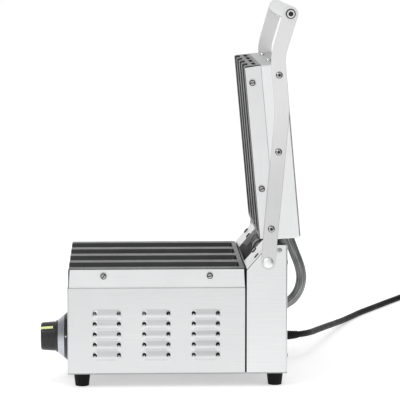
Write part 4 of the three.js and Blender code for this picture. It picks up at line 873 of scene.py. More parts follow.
class GRILL_OT_stage(bpy.types.Operator):
    """Sets the camera, the pale floor, the lights and the world"""
    bl_idname = "grill.stage"
    bl_label = "Stage"

    SENSOR_WIDTH = 36
    VIEW_END = 200
    # Distances from the grill between which the floor's lift changes.
    NEAR, FAR = (0.35, 0.8), (0.8, 3.0)
    # Where the cards stand, and their size.
    CARD_X, CARD_OFF, CARD_TOP, CARD_THICK = (0.25, 1.1), 0.55, 0.6, 0.01
    # Each lamp's name, place, size, power, and whether reflections see it. All point at one place.
    LAMPS = (
        ("key", (1.6, -1.5, 2.0), 1.4, 26, True),
        ("fill", (1.9, 1.6, 1.5), 1.6, 14, False),
        ("overhead", (0.0, 0.1, 2.4), 1.8, 12, False),
    )
    AIM = Vector((0, 0, 0.18))
    # Shares of a reflected direction between which the room darkens, and how dark it gets at most.
    ABOVE, BESIDE, DARKEST = (0.15, 0.6), (0.45, 0.85), 0.3

    def execute(self, context):
        settings = context.scene.grill_stage
        self.camera(context, settings)
        self.floor(settings)
        self.cards(settings)
        self.lights()
        self.world(context, settings)
        context.scene.view_settings.view_transform = "Standard"
        return {"FINISHED"}

    def camera(self, context, settings):
        data = bpy.data.cameras.new("camera")
        data.lens = settings.lens
        data.sensor_width = self.SENSOR_WIDTH
        data.clip_end = self.VIEW_END
        camera = bpy.data.objects.new("camera", data)
        context.scene.collection.objects.link(camera)
        forward = Vector((
            -math.cos(settings.pitch) * math.cos(settings.yaw),
            math.cos(settings.pitch) * math.sin(settings.yaw),
            math.sin(settings.pitch)))
        camera.location = settings.camera
        camera.rotation_euler = forward.to_track_quat("-Z", "Y").to_euler()
        context.scene.camera = camera

    def floor(self, settings):
        """A matt floor that glows a little, so that it is as pale as a studio's, with a shadow near the grill."""
        deselect_all()
        bpy.ops.mesh.primitive_plane_add(size=settings.floor_size)
        floor = bpy.context.active_object
        floor.name = "floor"
        made = Finish("pale_floor")
        speck = made.noise(60, 3)
        tone = made.blend(made.spread(speck, 0, 0.2), settings.floor, tinted(settings.floor, 0.99))
        made.set(colour=tone, roughness=0.9, specular=0.0)
        place = made.coordinates.outputs["Object"]
        away = made.add("ShaderNodeVectorMath", {"Vector": place}, operation="LENGTH").outputs["Value"]
        lift = made.ramp(away, settings.near_lift, settings.far_lift, *self.FAR)
        shine = made.maths(
            "ADD", made.ramp(away, settings.near_shine, settings.round_shine, *self.NEAR),
            made.ramp(away, 0, settings.far_lift - settings.round_shine, *self.FAR))
        mirrored = made.product(made.maths("SUBTRACT", shine, lift), made.rays("Is Glossy Ray"))
        seen = made.rays("Is Camera Ray", "Is Glossy Ray", "Is Transmission Ray")
        strength = made.product(seen, made.maths("ADD", lift, mirrored))
        glow = made.add("ShaderNodeEmission", {"Color": (1, 1, 1), "Strength": strength})
        both = made.add("ShaderNodeAddShader", {0: made.shader.outputs[0], 1: glow.outputs[0]})
        made.surface(both)
        floor.data.materials.append(made.material)

    def cards(self, settings):
        """Grey cards beside the grill that only reflections see, as they darken bent edges."""
        for name, y in (("front_card", -self.CARD_OFF), ("rear_card", self.CARD_OFF)):
            tone = getattr(settings, name)
            card = block(name, (self.CARD_X[0], y, 0), (self.CARD_X[1], y + self.CARD_THICK, self.CARD_TOP))
            for kind in ("camera", "diffuse", "transmission", "volume_scatter", "shadow"):
                setattr(card, f"visible_{kind}", False)
            made = Finish(name)
            made.surface(made.add("ShaderNodeEmission", {"Color": (tone, tone, tone)}))
            card.data.materials.append(made.material)

    def lights(self):
        for name, place, size, power, reflected in self.LAMPS:
            data = bpy.data.lights.new(name, "AREA")
            data.shape = "DISK"
            data.size = size
            data.energy = power
            lamp = bpy.data.objects.new(name, data)
            bpy.context.scene.collection.objects.link(lamp)
            lamp.location = place
            lamp.rotation_euler = (self.AIM - Vector(place)).to_track_quat("-Z", "Y").to_euler()
            lamp.visible_glossy = reflected

    def world(self, context, settings):
        """White to the camera, darker above and beside in reflections, and an even light on matt surfaces."""
        world = bpy.data.worlds.new("studio")
        world.use_nodes = True
        context.scene.world = world
        made = Graph(world.node_tree)
        _, side, up = made.parts(made.coordinates.outputs["Generated"])
        above = made.ramp(up, 0, settings.overhead_dark, *self.ABOVE)
        beside = made.ramp(made.maths("ABSOLUTE", side), 0, settings.side_dark, *self.BESIDE)
        room = made.maths("SUBTRACT", 1.0, made.maths("ADD", above, beside))
        room = made.maths("MAXIMUM", room, self.DARKEST)
        strength = made.spread(made.rays("Is Glossy Ray"), settings.ambient, room, 0, 1)
        strength = made.spread(made.rays("Is Camera Ray", "Is Transmission Ray"), strength, 1.0, 0, 1)
        background = made.tree.nodes["Background"]
        made.join((1, 1, 1), background.inputs["Color"])
        made.join(strength, background.inputs["Strength"])


# --- Cords ---

class GRILL_OT_mains_lead(bpy.types.Operator):
    """Lays the mains lead, its coil, strain relief, plug and tie"""
    bl_idname = "grill.mains_lead"
    bl_label = "Mains lead"

    def execute(self, context):
        sizes = context.scene.grill_cords
        route = catmull([spot(*point) for point in LEAD_ROUTE], 0.004)
        coil, centre, heading = self.coil(sizes, route)
        path = route + coil[1:]
        lead = tube("mains_lead_rubber", path, lambda along, angle: sizes.lead_radius, 20)
        settle(lead, "base", "rubber", "black_rubber", "mains_lead", "lead_coil", angle=60)
        relief = self.relief(sizes, route)
        plug = self.plug(sizes, path[-1], heading)
        tie = self.tie(sizes, centre)
        return {"FINISHED"}

    def coil(self, sizes, route):
        """The coil's points, its centre and the way that the lead heads."""
        end = route[-1]
        heading = end - route[-2]
        heading.z = 0
        heading.normalize()
        to_centre = Vector((heading.y, -heading.x, 0))
        start = end + heading * 2 * sizes.lead_radius
        centre = start + to_centre * sizes.coil_radius
        first = math.atan2(-to_centre.y, -to_centre.x)
        per_turn = 72
        top = end.z + sizes.coil_pitch
        plug_z = sizes.plug_radius + GAP
        points = [end]
        for i in range(sizes.turns * per_turn + 1):
            turn = i / per_turn
            radius = sizes.coil_radius - sizes.coil_pitch * min(turn, sizes.turns - turn)
            layer = smooth((turn - sizes.turns / 2) * 2 + 0.5)
            lift = smooth((turn - sizes.turns) * 3 + 1)
            z = end.z + sizes.coil_pitch * layer + (plug_z - top) * lift
            angle = first - 2 * math.pi * turn
            points.append(Vector((centre.x + radius * math.cos(angle), centre.y + radius * math.sin(angle), z)))
        points.append(points[-1] + heading * 2 * sizes.lead_radius)
        return points, centre, heading

    def relief(self, sizes, route):
        """Nut on the wall and a ribbed sleeve that tapers along the lead."""
        path = evenly(self.stretch(route, sizes.relief), 0.0005)
        nut, nut_radius, chamfer_radius, chamfer = 0.005, 0.0095, 0.0089, 0.0004
        start_radius, end_radius, rib_rise, rib_pitch = 0.0068, 0.0052, 0.00045, 0.0036

        def radius(along, angle):
            if along < nut:
                flat = math.cos(math.pi / 6) / math.cos((angle % (math.pi / 3)) - math.pi / 6)
                return nut_radius * min(flat, 1) if chamfer < along < nut - chamfer else chamfer_radius
            taper = (along - nut) / (sizes.relief - nut)
            rib = rib_rise * max(math.cos(2 * math.pi * (along - nut) / rib_pitch), -0.3)
            return start_radius + (end_radius - start_radius) * taper + rib * (1 - 0.6 * taper)

        piece = tube("strain_relief_sleeve", path, radius, 36)
        return settle(piece, "base", "rubber", "black_rubber", "strain_relief", angle=50)

    def stretch(self, route, reach):
        """The first part of a route, cut off at a length."""
        run, points = 0.0, [route[0]]
        for a, b in zip(route, route[1:]):
            step = (b - a).length
            if run + step >= reach:
                points.append(a.lerp(b, (reach - run) / step))
                break
            run += step
            points.append(b)
        return points

    def plug(self, sizes, start, heading):
        """Round rubber plug with a ribbed sleeve and two pins."""
        neck = sizes.plug_sleeve
        face = neck + sizes.plug_neck + sizes.plug_body
        full = sizes.plug_radius
        profile = [(0, GAP), (0.0050, GAP)]
        sleeve_ribs, rib_pitch, widening = 9, 0.0037, 0.0011
        for i in range(sleeve_ribs):
            z = 0.003 + i * rib_pitch
            rib = 0.0054 + widening * i / (sleeve_ribs - 1)
            valley = 0.0048 + widening * i / (sleeve_ribs - 1)
            profile += [(rib, z - 0.0008), (rib, z + 0.0008), (valley, z + 0.0013), (valley, z + 0.0024)]
        profile += [
            (0.0070, neck), (0.0100, neck + 0.003), (full * 0.78, neck + 0.007), (full * 0.93, neck + 0.0105),
            (full, neck + sizes.plug_neck)]
        grip_grooves, groove_pitch, groove_depth = 4, 0.004, 0.0007
        for i in range(grip_grooves):
            z = neck + sizes.plug_neck + groove_pitch + i * groove_pitch
            floor = full - groove_depth
            profile += [(full, z), (floor, z + 0.0005), (floor, z + 0.0015), (full, z + 0.002)]
        profile += [(full, face - 0.0015), (full - 0.0005, face - 0.0005), (full - 0.0015, face), (0, face)]
        body = turned("plug_body", profile, Vector(), UP, 64)
        moved(body, facing(start, heading))
        settle(body, "base", "rubber", "black_rubber", "mains_plug", angle=40)
        radius, reach = sizes.pin_radius, sizes.pin_length
        pin_profile = [
            (0, -0.0015), (radius, -0.0015), (radius, reach * 0.45), (radius * 0.96, reach * 0.47),
            (radius, reach * 0.49), (radius, reach - radius), (radius * 0.85, reach - radius * 0.4),
            (radius * 0.5, reach - 0.0001), (0, reach)]
        master = turned("plug_pin", pin_profile, Vector(), UP, 32)
        pins = []
        across = Vector((-heading.y, heading.x, 0))
        for name, sign in (("plug_pin_left", -1), ("plug_pin_right", 1)):
            at = start + heading * face + across * (sign * sizes.pin_pitch / 2)
            pin = copied(master, name, facing(at, heading))
            pins.append(settle(pin, "base", "rubber", "plated"))
        bpy.data.objects.remove(master)
        return [body, *pins]

    def tie(self, sizes, centre):
        """Soft tie that holds the coil's turns together."""
        room, low, high, rounding = 0.0058, 0.0009, 0.0198, 0.005
        width, thickness, around_coil = 0.008, 0.0008, 2.2
        inner = sizes.coil_radius - sizes.coil_pitch * sizes.turns / 2 - room
        outer = sizes.coil_radius + room
        corners = [
            (inner + rounding, low + rounding, 180), (outer - rounding, low + rounding, 270),
            (outer - rounding, high - rounding, 0), (inner + rounding, high - rounding, 90)]
        section = [p for a, b, start in corners for p in curve_points((a, b), rounding, start, start + 90, 6)]
        direction = Vector((math.cos(around_coil), math.sin(around_coil), 0))
        middle = Vector((centre.x, centre.y, 0))
        loop = [middle + direction * a + UP * b for a, b in section]
        side = direction.cross(UP)
        piece = draw("coil_tie", [p - side * (width / 2) for p in (*loop, loop[0])])
        bpy.ops.mesh.select_all(action="SELECT")
        bpy.ops.mesh.extrude_region_move(TRANSFORM_OT_translate={"value": side * width})
        bpy.ops.object.mode_set(mode="OBJECT")
        outward(piece)
        finish(piece, "SOLIDIFY", thickness=thickness, offset=0)
        return settle(piece, "base", "rubber", "black_rubber")


class GRILL_OT_wiring_hose(bpy.types.Operator):
    """Makes the braided hose between tower and lid and its rubber ring"""
    bl_idname = "grill.wiring_hose"
    bl_label = "Wiring hose"

    def execute(self, context):
        sizes = context.scene.grill_cords
        path = catmull([spot(*point) for point in HOSE_ROUTE], 0.00045)
        carriers, lay, free_end = 8, 0.0175, 0.195

        def radius(along, angle):
            turn = along / lay * 2 * math.pi
            over = max(abs(math.sin((carriers * angle + way * carriers / 2) / 2)) for way in (turn, -turn))
            return sizes.hose_radius - sizes.strand * (1 - over)

        hose = tube("braided_hose", path, radius, 64)
        settle(hose, None, "hose", "wire_braid", "wiring_hose", angle=80)
        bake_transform(hose)
        ring = turned("hose_grommet", [
            (0.0094, 0.0002), (0.0120, 0.0002), (0.0124, 0.0006), (0.0122, 0.0013), (0.0115, 0.0020), (0.0105, 0.0022),
            (0.0097, 0.0019), (0.0094, 0.0012)], spot(0, TOWER_REAR, HOSE_ROUTE[1][2]), BACK, 64, closed=True)
        settle(ring, "base", "rubber", "black_rubber", "hose_gland_tower", angle=60)
        return {"FINISHED"}


# --- Housing ---

def stepped(stops, coarse, fine):
    """Numbers that run through the stops, in coarse and in fine steps by turns."""
    numbers = [stops[0]]
    for i, (start, end) in enumerate(zip(stops, stops[1:])):
        count = max(round(abs(end - start) / (fine if i % 2 else coarse)), 1)
        numbers += [start + (end - start) * k / count for k in range(1, count + 1)]
    return numbers


class GRILL_OT_side_panels(bpy.types.Operator):
    """Presses the louvred side panels out of one sheet each"""
    bl_idname = "grill.side_panels"
    bl_label = "Side panels"

    # The length over which a louvre's end sinks into the sheet, and how full its two flanks are.
    LOUVRE_END, UPPER_CURVE, LOWER_CURVE = 0.0075, 1.3, 1.7
    # Length of the cutters of its holes.
    CUTTER = 0.02

    def execute(self, context):
        sizes = context.scene.grill_housing
        columns = [sizes.depth / 2 + i * sizes.louvre_pitch_y for i in (-1, 0, 1)]
        rows = [sizes.louvre_top - i * sizes.louvre_pitch_z for i in range(5)]
        right = self.sheet(sizes, columns, rows)
        self.holes(sizes, right, columns, rows)
        both_sides(right, "louvred_side", "base", "stainless", "sheet_side", "side_panel", angle=30)
        return {"FINISHED"}

    def rise(self, sizes, y, z, columns, rows):
        """How far the sheet is pressed out at a place."""
        highest = 0.0
        for column in columns:
            reach = abs(y - column)
            if reach >= sizes.louvre_half:
                continue
            full = sizes.louvre_half - self.LOUVRE_END
            end = max(reach - full, 0) / (sizes.louvre_half - full)
            taper = (1 - end * end) ** 1.5
            for row in rows:
                off = z - row + sizes.louvre_crest
                span = sizes.louvre_upper if off > 0 else sizes.louvre_lower
                t = abs(off) / span
                if t < 1:
                    flank = (1 - t * t) ** (self.UPPER_CURVE if off > 0 else self.LOWER_CURVE)
                    highest = max(highest, sizes.louvre_rise * flank * taper)
        return highest

    def sheet(self, sizes, columns, rows):
        arc = [math.radians(90 * i / 5) for i in range(6)]
        bend, fold = sizes.front_bend, sizes.top_bend
        # Across the sheet: (housing depth, distance in from the side) from the rear edge to the front return.
        beside = 0.021
        stops = [y for column in reversed(columns) for y in (column + beside, column - beside)]
        along = stepped([sizes.depth, *stops, bend], 0.006, 0.0011)
        around = [(y, 0.0) for y in along]
        around += [(bend - bend * math.sin(a), bend - bend * math.cos(a)) for a in arc[1:]]
        around.append((0.0, sizes.front_return))
        # Up the sheet: (height, distance in from the side) from the lower edge to the ledge.
        under, over = 0.009, 0.006
        stops = [sizes.foot_height, rows[-1] - under, rows[0] + over, sizes.seam_height - fold]
        upward = stepped(stops, 0.005, 0.00085)
        up = [(z, 0.0) for z in upward]
        up += [(sizes.seam_height - fold + fold * math.sin(a), fold - fold * math.cos(a)) for a in arc[1:]]
        up.append((sizes.seam_height, sizes.ledge))
        deselect_all()
        bpy.ops.mesh.primitive_grid_add(x_subdivisions=len(around) - 1, y_subdivisions=len(up) - 1, size=1)
        panel = bpy.context.active_object
        panel.name = panel.data.name = "louvred_side_right"
        width = len(around)
        for index, vertex in enumerate(panel.data.vertices):
            y, front_in = around[index % width]
            z, top_in = up[index // width]
            out = self.rise(sizes, y, z, columns, rows) if not front_in and not top_in else 0.0
            vertex.co = spot(SIDE - front_in - top_in + out, y, z)
        edit(panel)
        low, high = sizes.seam_height - fold, FRONT + bend
        pick(panel, "polygons", lambda middle, normal: middle.z > low and middle.y < high)
        bpy.ops.mesh.delete(type="FACE")
        bpy.ops.object.mode_set(mode="OBJECT")
        self.face_out(panel)
        finish(panel, "SOLIDIFY", thickness=sizes.sheet, offset=-1, use_even_offset=True)
        return panel

    def face_out(self, panel):
        """Turns the sheet's faces to the outside before it gets its thickness."""
        sample = next(f for f in panel.data.polygons if abs(f.normal.x) > 0.99)
        if sample.normal.x < 0:
            edit(panel)
            bpy.ops.mesh.select_all(action="SELECT")
            bpy.ops.mesh.flip_normals()
            bpy.ops.object.mode_set(mode="OBJECT")

    def holes(self, sizes, panel, columns, rows):
        """Cuts the open holes at both ends of each louvre: an arch round a tongue of the sheet."""
        radius, reach = sizes.hole_radius, sizes.hole_reach
        tongue = [(-0.0011, -0.0018), (-0.0009, -0.0007), (0, -0.0003), (0.0009, -0.0007), (0.0011, -0.0018)]
        outline = [*curve_points((reach, 0), radius, -52, 232, 18), *((reach + a, b) for a, b in tongue)]
        cutters = []
        for end in (-1, 1):
            master = prism("louvre_hole", [Vector((0, end * a, b)) for a, b in outline], ACROSS * self.CUTTER)
            for i, column in enumerate(columns):
                for j, row in enumerate(rows):
                    place = Matrix.Translation(spot(SIDE - self.CUTTER / 2, column, row))
                    cutters.append(copied(master, f"louvre_hole_{i}_{j}", place))
            bpy.data.objects.remove(master)
        carve(panel, joined(cutters))


class GRILL_OT_tower_sides(bpy.types.Operator):
    """Bends the tower's sides round their rear corners and cuts them along the slope"""
    bl_idname = "grill.tower_sides"
    bl_label = "Tower sides"

    def execute(self, context):
        sizes = context.scene.grill_housing
        inner, radius = SIDE - sizes.sheet, sizes.tower_corner
        turn = math.degrees(math.acos(1 - sizes.sheet / radius))
        plan = [
            (inner, sizes.tower_front), (SIDE, sizes.tower_front),
            *curve_points((SIDE - radius, TOWER_REAR - radius), radius, 0, turn, 8)]
        right = prism(
            "tower_sheet_right", [spot(a, b, sizes.foot_height) for a, b in plan],
            UP * (sizes.tower_top - sizes.foot_height))
        start, reach = inner - BEYOND, 3 * BEYOND
        foot = spot(start, sizes.tower_front, sizes.slope_foot)
        head = spot(start, sizes.slope_head, sizes.tower_top)
        beyond = (head - foot) * 0.4
        low, high = foot - beyond, head + beyond
        carve(
            right, prism("slope_cut", [low, high, Vector((low.x, low.y, high.z))], ACROSS * reach),
            rod("hinge_cut", sizes.hinge_hole, reach, Vector((start, PIVOT.y, PIVOT.z)), ACROSS, 48))
        both_sides(right, "tower_sheet", "base", "stainless", "sheet_along", "tower_side", angle=30)
        return {"FINISHED"}


class GRILL_OT_feet(bpy.types.Operator):
    """Turns the tapered rubber feet"""
    bl_idname = "grill.feet"
    bl_label = "Feet"

    def execute(self, context):
        sizes = context.scene.grill_feet
        low, top, height = sizes.bottom_radius, sizes.top_radius, sizes.height
        profile = [
            (0, 0.008), (0.0038, 0.008), (0.004, 0.0076), (0.004, 0.0006), (0.0046, 0), (low - 0.0012, 0),
            (low - 0.0003, 0.0003), (low, 0.0012), (top - 0.0004, height - 0.0032), (top, height - 0.0024),
            (top, height - 0.0005), (top - 0.0004, height), (0, height)]
        master = turned("foot", profile, Vector(), UP, 64)
        screw = self.screw()
        for side, sign in (("left", -1), ("right", 1)):
            for end, y in (("front", sizes.front), ("rear", sizes.rear)):
                place = Matrix.Translation(spot(sign * sizes.from_middle, y, 0))
                foot = copied(master, f"rubber_foot_{end}_{side}", place)
                settle(foot, "base", "rubber", "black_rubber", f"foot_{end}_{side}")
                head = copied(screw, f"foot_screw_{end}_{side}", place @ Matrix.Translation((0, 0, 0.0079)))
                settle(head, "base", "bright", "plated")
        for used in (master, screw):
            bpy.data.objects.remove(used)
        return {"FINISHED"}

    def screw(self):
        """Pan head that holds the foot, seen from below."""
        profile = [(0, 0), (0.0034, 0), (0.0034, -0.0010), (0.0028, -0.0019), (0, -0.0022)]
        head = turned("foot_screw", profile, Vector(), UP, 32)
        carve(head, block("slot", (-0.004, -0.0004, -0.0030), (0.004, 0.0004, -0.0014)))
        return head


class GRILL_OT_housing_finish(bpy.types.Operator):
    """Rounds and finishes the plain sheet pieces that the frame brings"""
    bl_idname = "grill.housing_finish"
    bl_label = "Sheet pieces"

    def execute(self, context):
        groups = {
            "sheet_along": ("plate_trim_left", "plate_trim_right"),
            "sheet_across": ("front_panel", "drip_tray", "tower_rear_panel"),
            "sheet_slope": ("slope_cover_left", "slope_cover_right"),
            "sheet_lid_trim": ("lid_trim_left", "lid_trim_right"),
            "inner_sheet": (
                "tower_front_panel", "bottom_plate", "lower_element_clamp", "heat_shield", "tray_runner_left",
                "tray_runner_right", "hinge_bracket_left", "hinge_bracket_right", "upper_element_clamp"),
            "dark_element": ("lower_element", "upper_element"),
            "white_fibre": ("thermostat", "terminal_block", "lid_insulation"),
            "turned_brass": ("thermostat_shaft", "hinge_bush_left", "hinge_bush_right"),
            "plated": ("hose_gland_lid",),
        }
        roundings = {"white_fibre": 0.0006, "sheet_along": 0.0001, "sheet_lid_trim": 0.0001}
        for finish_name, nodes in groups.items():
            for name in nodes:
                node = frame["nodes"][name]
                for place in range(max(len(node.material_slots), 1)):
                    if not node.material_slots:
                        node.data.materials.append(material(finish_name))
                    node.material_slots[place].material = material(finish_name)
                weld = node.modifiers.new("weld", "WELD")
                weld.merge_threshold = 1e-5
                ease = node.modifiers.new("ease", "BEVEL")
                ease.width = roundings.get(finish_name, 0.0002)
                ease.segments = 2
                ease.limit_method = "ANGLE"
                ease.angle_limit = math.radians(35)
        return {"FINISHED"}


# --- Castings ---

class GRILL_OT_castings(bpy.types.Operator):
    """Casts the lower and upper ribbed plates"""
    bl_idname = "grill.castings"
    bl_label = "Castings"

    def execute(self, context):
        sizes, lid = context.scene.grill_plates, context.scene.grill_lid
        front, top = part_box("lower_plate")[0].y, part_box("lower_plate")[1].z
        lower = self.casting(sizes, "lower_casting", sizes.lower_depth, sizes.lower_height, True)
        moved(lower, Matrix.Translation((0, front, top)))
        settle(lower, "base", "cast_iron", "iron", "lower_plate", angle=40)
        upper = self.casting(sizes, "upper_casting", sizes.upper_depth, sizes.upper_height, False)
        over = Matrix.Translation((0, -lid.front_reach, lid.cook_rise)) @ Matrix.Rotation(math.pi, 4, "Y")
        moved(upper, LID @ over)
        settle(upper, "lid", "cast_iron", "iron", "upper_plate", angle=40)
        return {"FINISHED"}

    def casting(self, sizes, name, depth, height, drains):
        """A casting with its front face at y = 0 and its rib tops at z = 0."""
        half = sizes.width / 2
        body = block(name, (-half, 0, -height), (half, depth, -sizes.edge_rise))
        edit(body)
        pick(body, "edges", lambda a, b: abs(a.z - b.z) > 0.001)
        bpy.ops.mesh.bevel(offset=sizes.corner, segments=4, affect="EDGES")
        pick(body, "polygons", lambda middle, normal: normal.z > 0.9)
        for rise, share_in in ((sizes.edge_rise * 2 / 3, 1 / 3), (sizes.edge_rise / 3, 2 / 3)):
            bpy.ops.mesh.extrude_region_move(TRANSFORM_OT_translate={"value": (0, 0, rise)})
            ends = (sizes.front_edge + sizes.rear_edge) * share_in
            bpy.ops.transform.resize(
                value=(1 - 2 * sizes.side_edge * share_in / sizes.width, 1 - ends / depth, 1),
                center_override=(0, depth * sizes.front_edge / (sizes.front_edge + sizes.rear_edge), 0))
        bpy.ops.object.mode_set(mode="OBJECT")
        carve(body, *self.cutters(sizes, depth, height, drains))
        ease_edges(body, sizes.rounding, 2, 38)
        return body

    def cutters(self, sizes, depth, height, drains):
        """What is cut out of a casting: its grooves, its front pockets, its drains and its hollow underside."""
        groove = sizes.rib_pitch - sizes.rib_width
        grooves, pockets, holes = [], [], []
        master = self.groove(sizes, groove, depth)
        low = -height - BEYOND
        for i in range(4):
            x = (i - 1.5) * sizes.rib_pitch
            grooves.append(copied(master, f"groove_{i}", Matrix.Translation((x, 0, 0))))
            pockets.append(block(
                f"pocket_{i}", (x - groove / 2, -BEYOND, -sizes.pocket_drop - sizes.pocket_height),
                (x + groove / 2, sizes.pocket_depth, -sizes.pocket_drop)))
            if drains:
                start = Vector((x, sizes.drain_from_front, low))
                holes.append(rod(f"drain_{i}", sizes.drain_radius, -low, start, UP, 32))
        bpy.data.objects.remove(master)
        half = sizes.width / 2 - sizes.skirt
        under = block(
            "underside", (-half, sizes.skirt, low), (half, depth - sizes.skirt, -sizes.groove_depth - sizes.slab))
        return [joined(grooves), joined(pockets), *([joined(holes)] if drains else []), under]

    def groove(self, sizes, width, depth):
        """One groove: round corners at the rear, sloping walls and a fillet along its floor."""
        inset, corner, start, floor = sizes.groove_draft, sizes.groove_corner, -0.009, -sizes.groove_depth
        half, rear = width / 2 - inset, depth - sizes.rear_wall - inset
        outline = [
            (-half, start), (half, start), *curve_points((half - corner, rear - corner), corner, 0, 90, 8),
            *curve_points((-half + corner, rear - corner), corner, 90, 180, 8)]
        cutter = draw("groove", [Vector((a, b, floor)) for a, b in outline])
        bpy.ops.mesh.select_all(action="SELECT")
        bpy.ops.mesh.edge_face_add()
        bpy.ops.mesh.extrude_region_move(TRANSFORM_OT_translate={"value": (0, 0, sizes.groove_depth)})
        bpy.ops.transform.resize(
            value=(width / (width - 2 * inset), (rear + inset - start) / (rear - start), 1),
            center_override=(0, start, 0))
        bpy.ops.mesh.extrude_region_move(TRANSFORM_OT_translate={"value": (0, 0, BEYOND)})
        bpy.ops.object.mode_set(mode="OBJECT")
        outward(cutter)
        edit(cutter)
        # The floor's edges, all but the open one at the front.
        pick(cutter, "edges", lambda a, b: (
            max(abs(a.z - floor), abs(b.z - floor)) < 1e-5 and max(a.y, b.y) > start + 0.0005))
        bpy.ops.mesh.bevel(offset=sizes.groove_fillet, segments=3, affect="EDGES")
        bpy.ops.object.mode_set(mode="OBJECT")
        return cutter


# --- Lid, arms and handle ---

class GRILL_OT_lid_cover(bpy.types.Operator):
    """Folds the lid's cover"""
    bl_idname = "grill.lid_cover"
    bl_label = "Lid cover"

    def execute(self, context):
        sizes, housing = context.scene.grill_lid, context.scene.grill_housing
        cover = block(
            "lid_shell", (-SIDE, -sizes.front_reach, sizes.seam_rise), (SIDE, -sizes.rear_reach, sizes.top_rise))
        edit(cover)
        pick(cover, "polygons", lambda middle, normal: normal.z < -0.9)
        bpy.ops.mesh.delete(type="FACE")
        low = sizes.seam_rise + 0.001
        pick(cover, "edges", lambda a, b: a.z > low or b.z > low)
        bpy.ops.mesh.bevel(offset=sizes.bend, segments=6, affect="EDGES")
        bpy.ops.object.mode_set(mode="OBJECT")
        finish(cover, "SOLIDIFY", thickness=housing.sheet, offset=-1)
        start = Vector((0, -sizes.rear_reach - 2 * BEYOND, sizes.hose_rise))
        carve(cover, rod("hose_hole", sizes.hose_hole, 4 * BEYOND, start, BACK, 40))
        moved(cover, LID)
        settle(cover, "lid", "stainless", "sheet_lid", "lid_cover", angle=30)
        # Painted shade: the faces that look up on the open lid take the darker copy of the stainless.
        cover.data.materials.append(material("sheet_end"))
        for face in cover.data.polygons:
            if face.normal.z > 0.8:
                face.material_index = 1
        return {"FINISHED"}


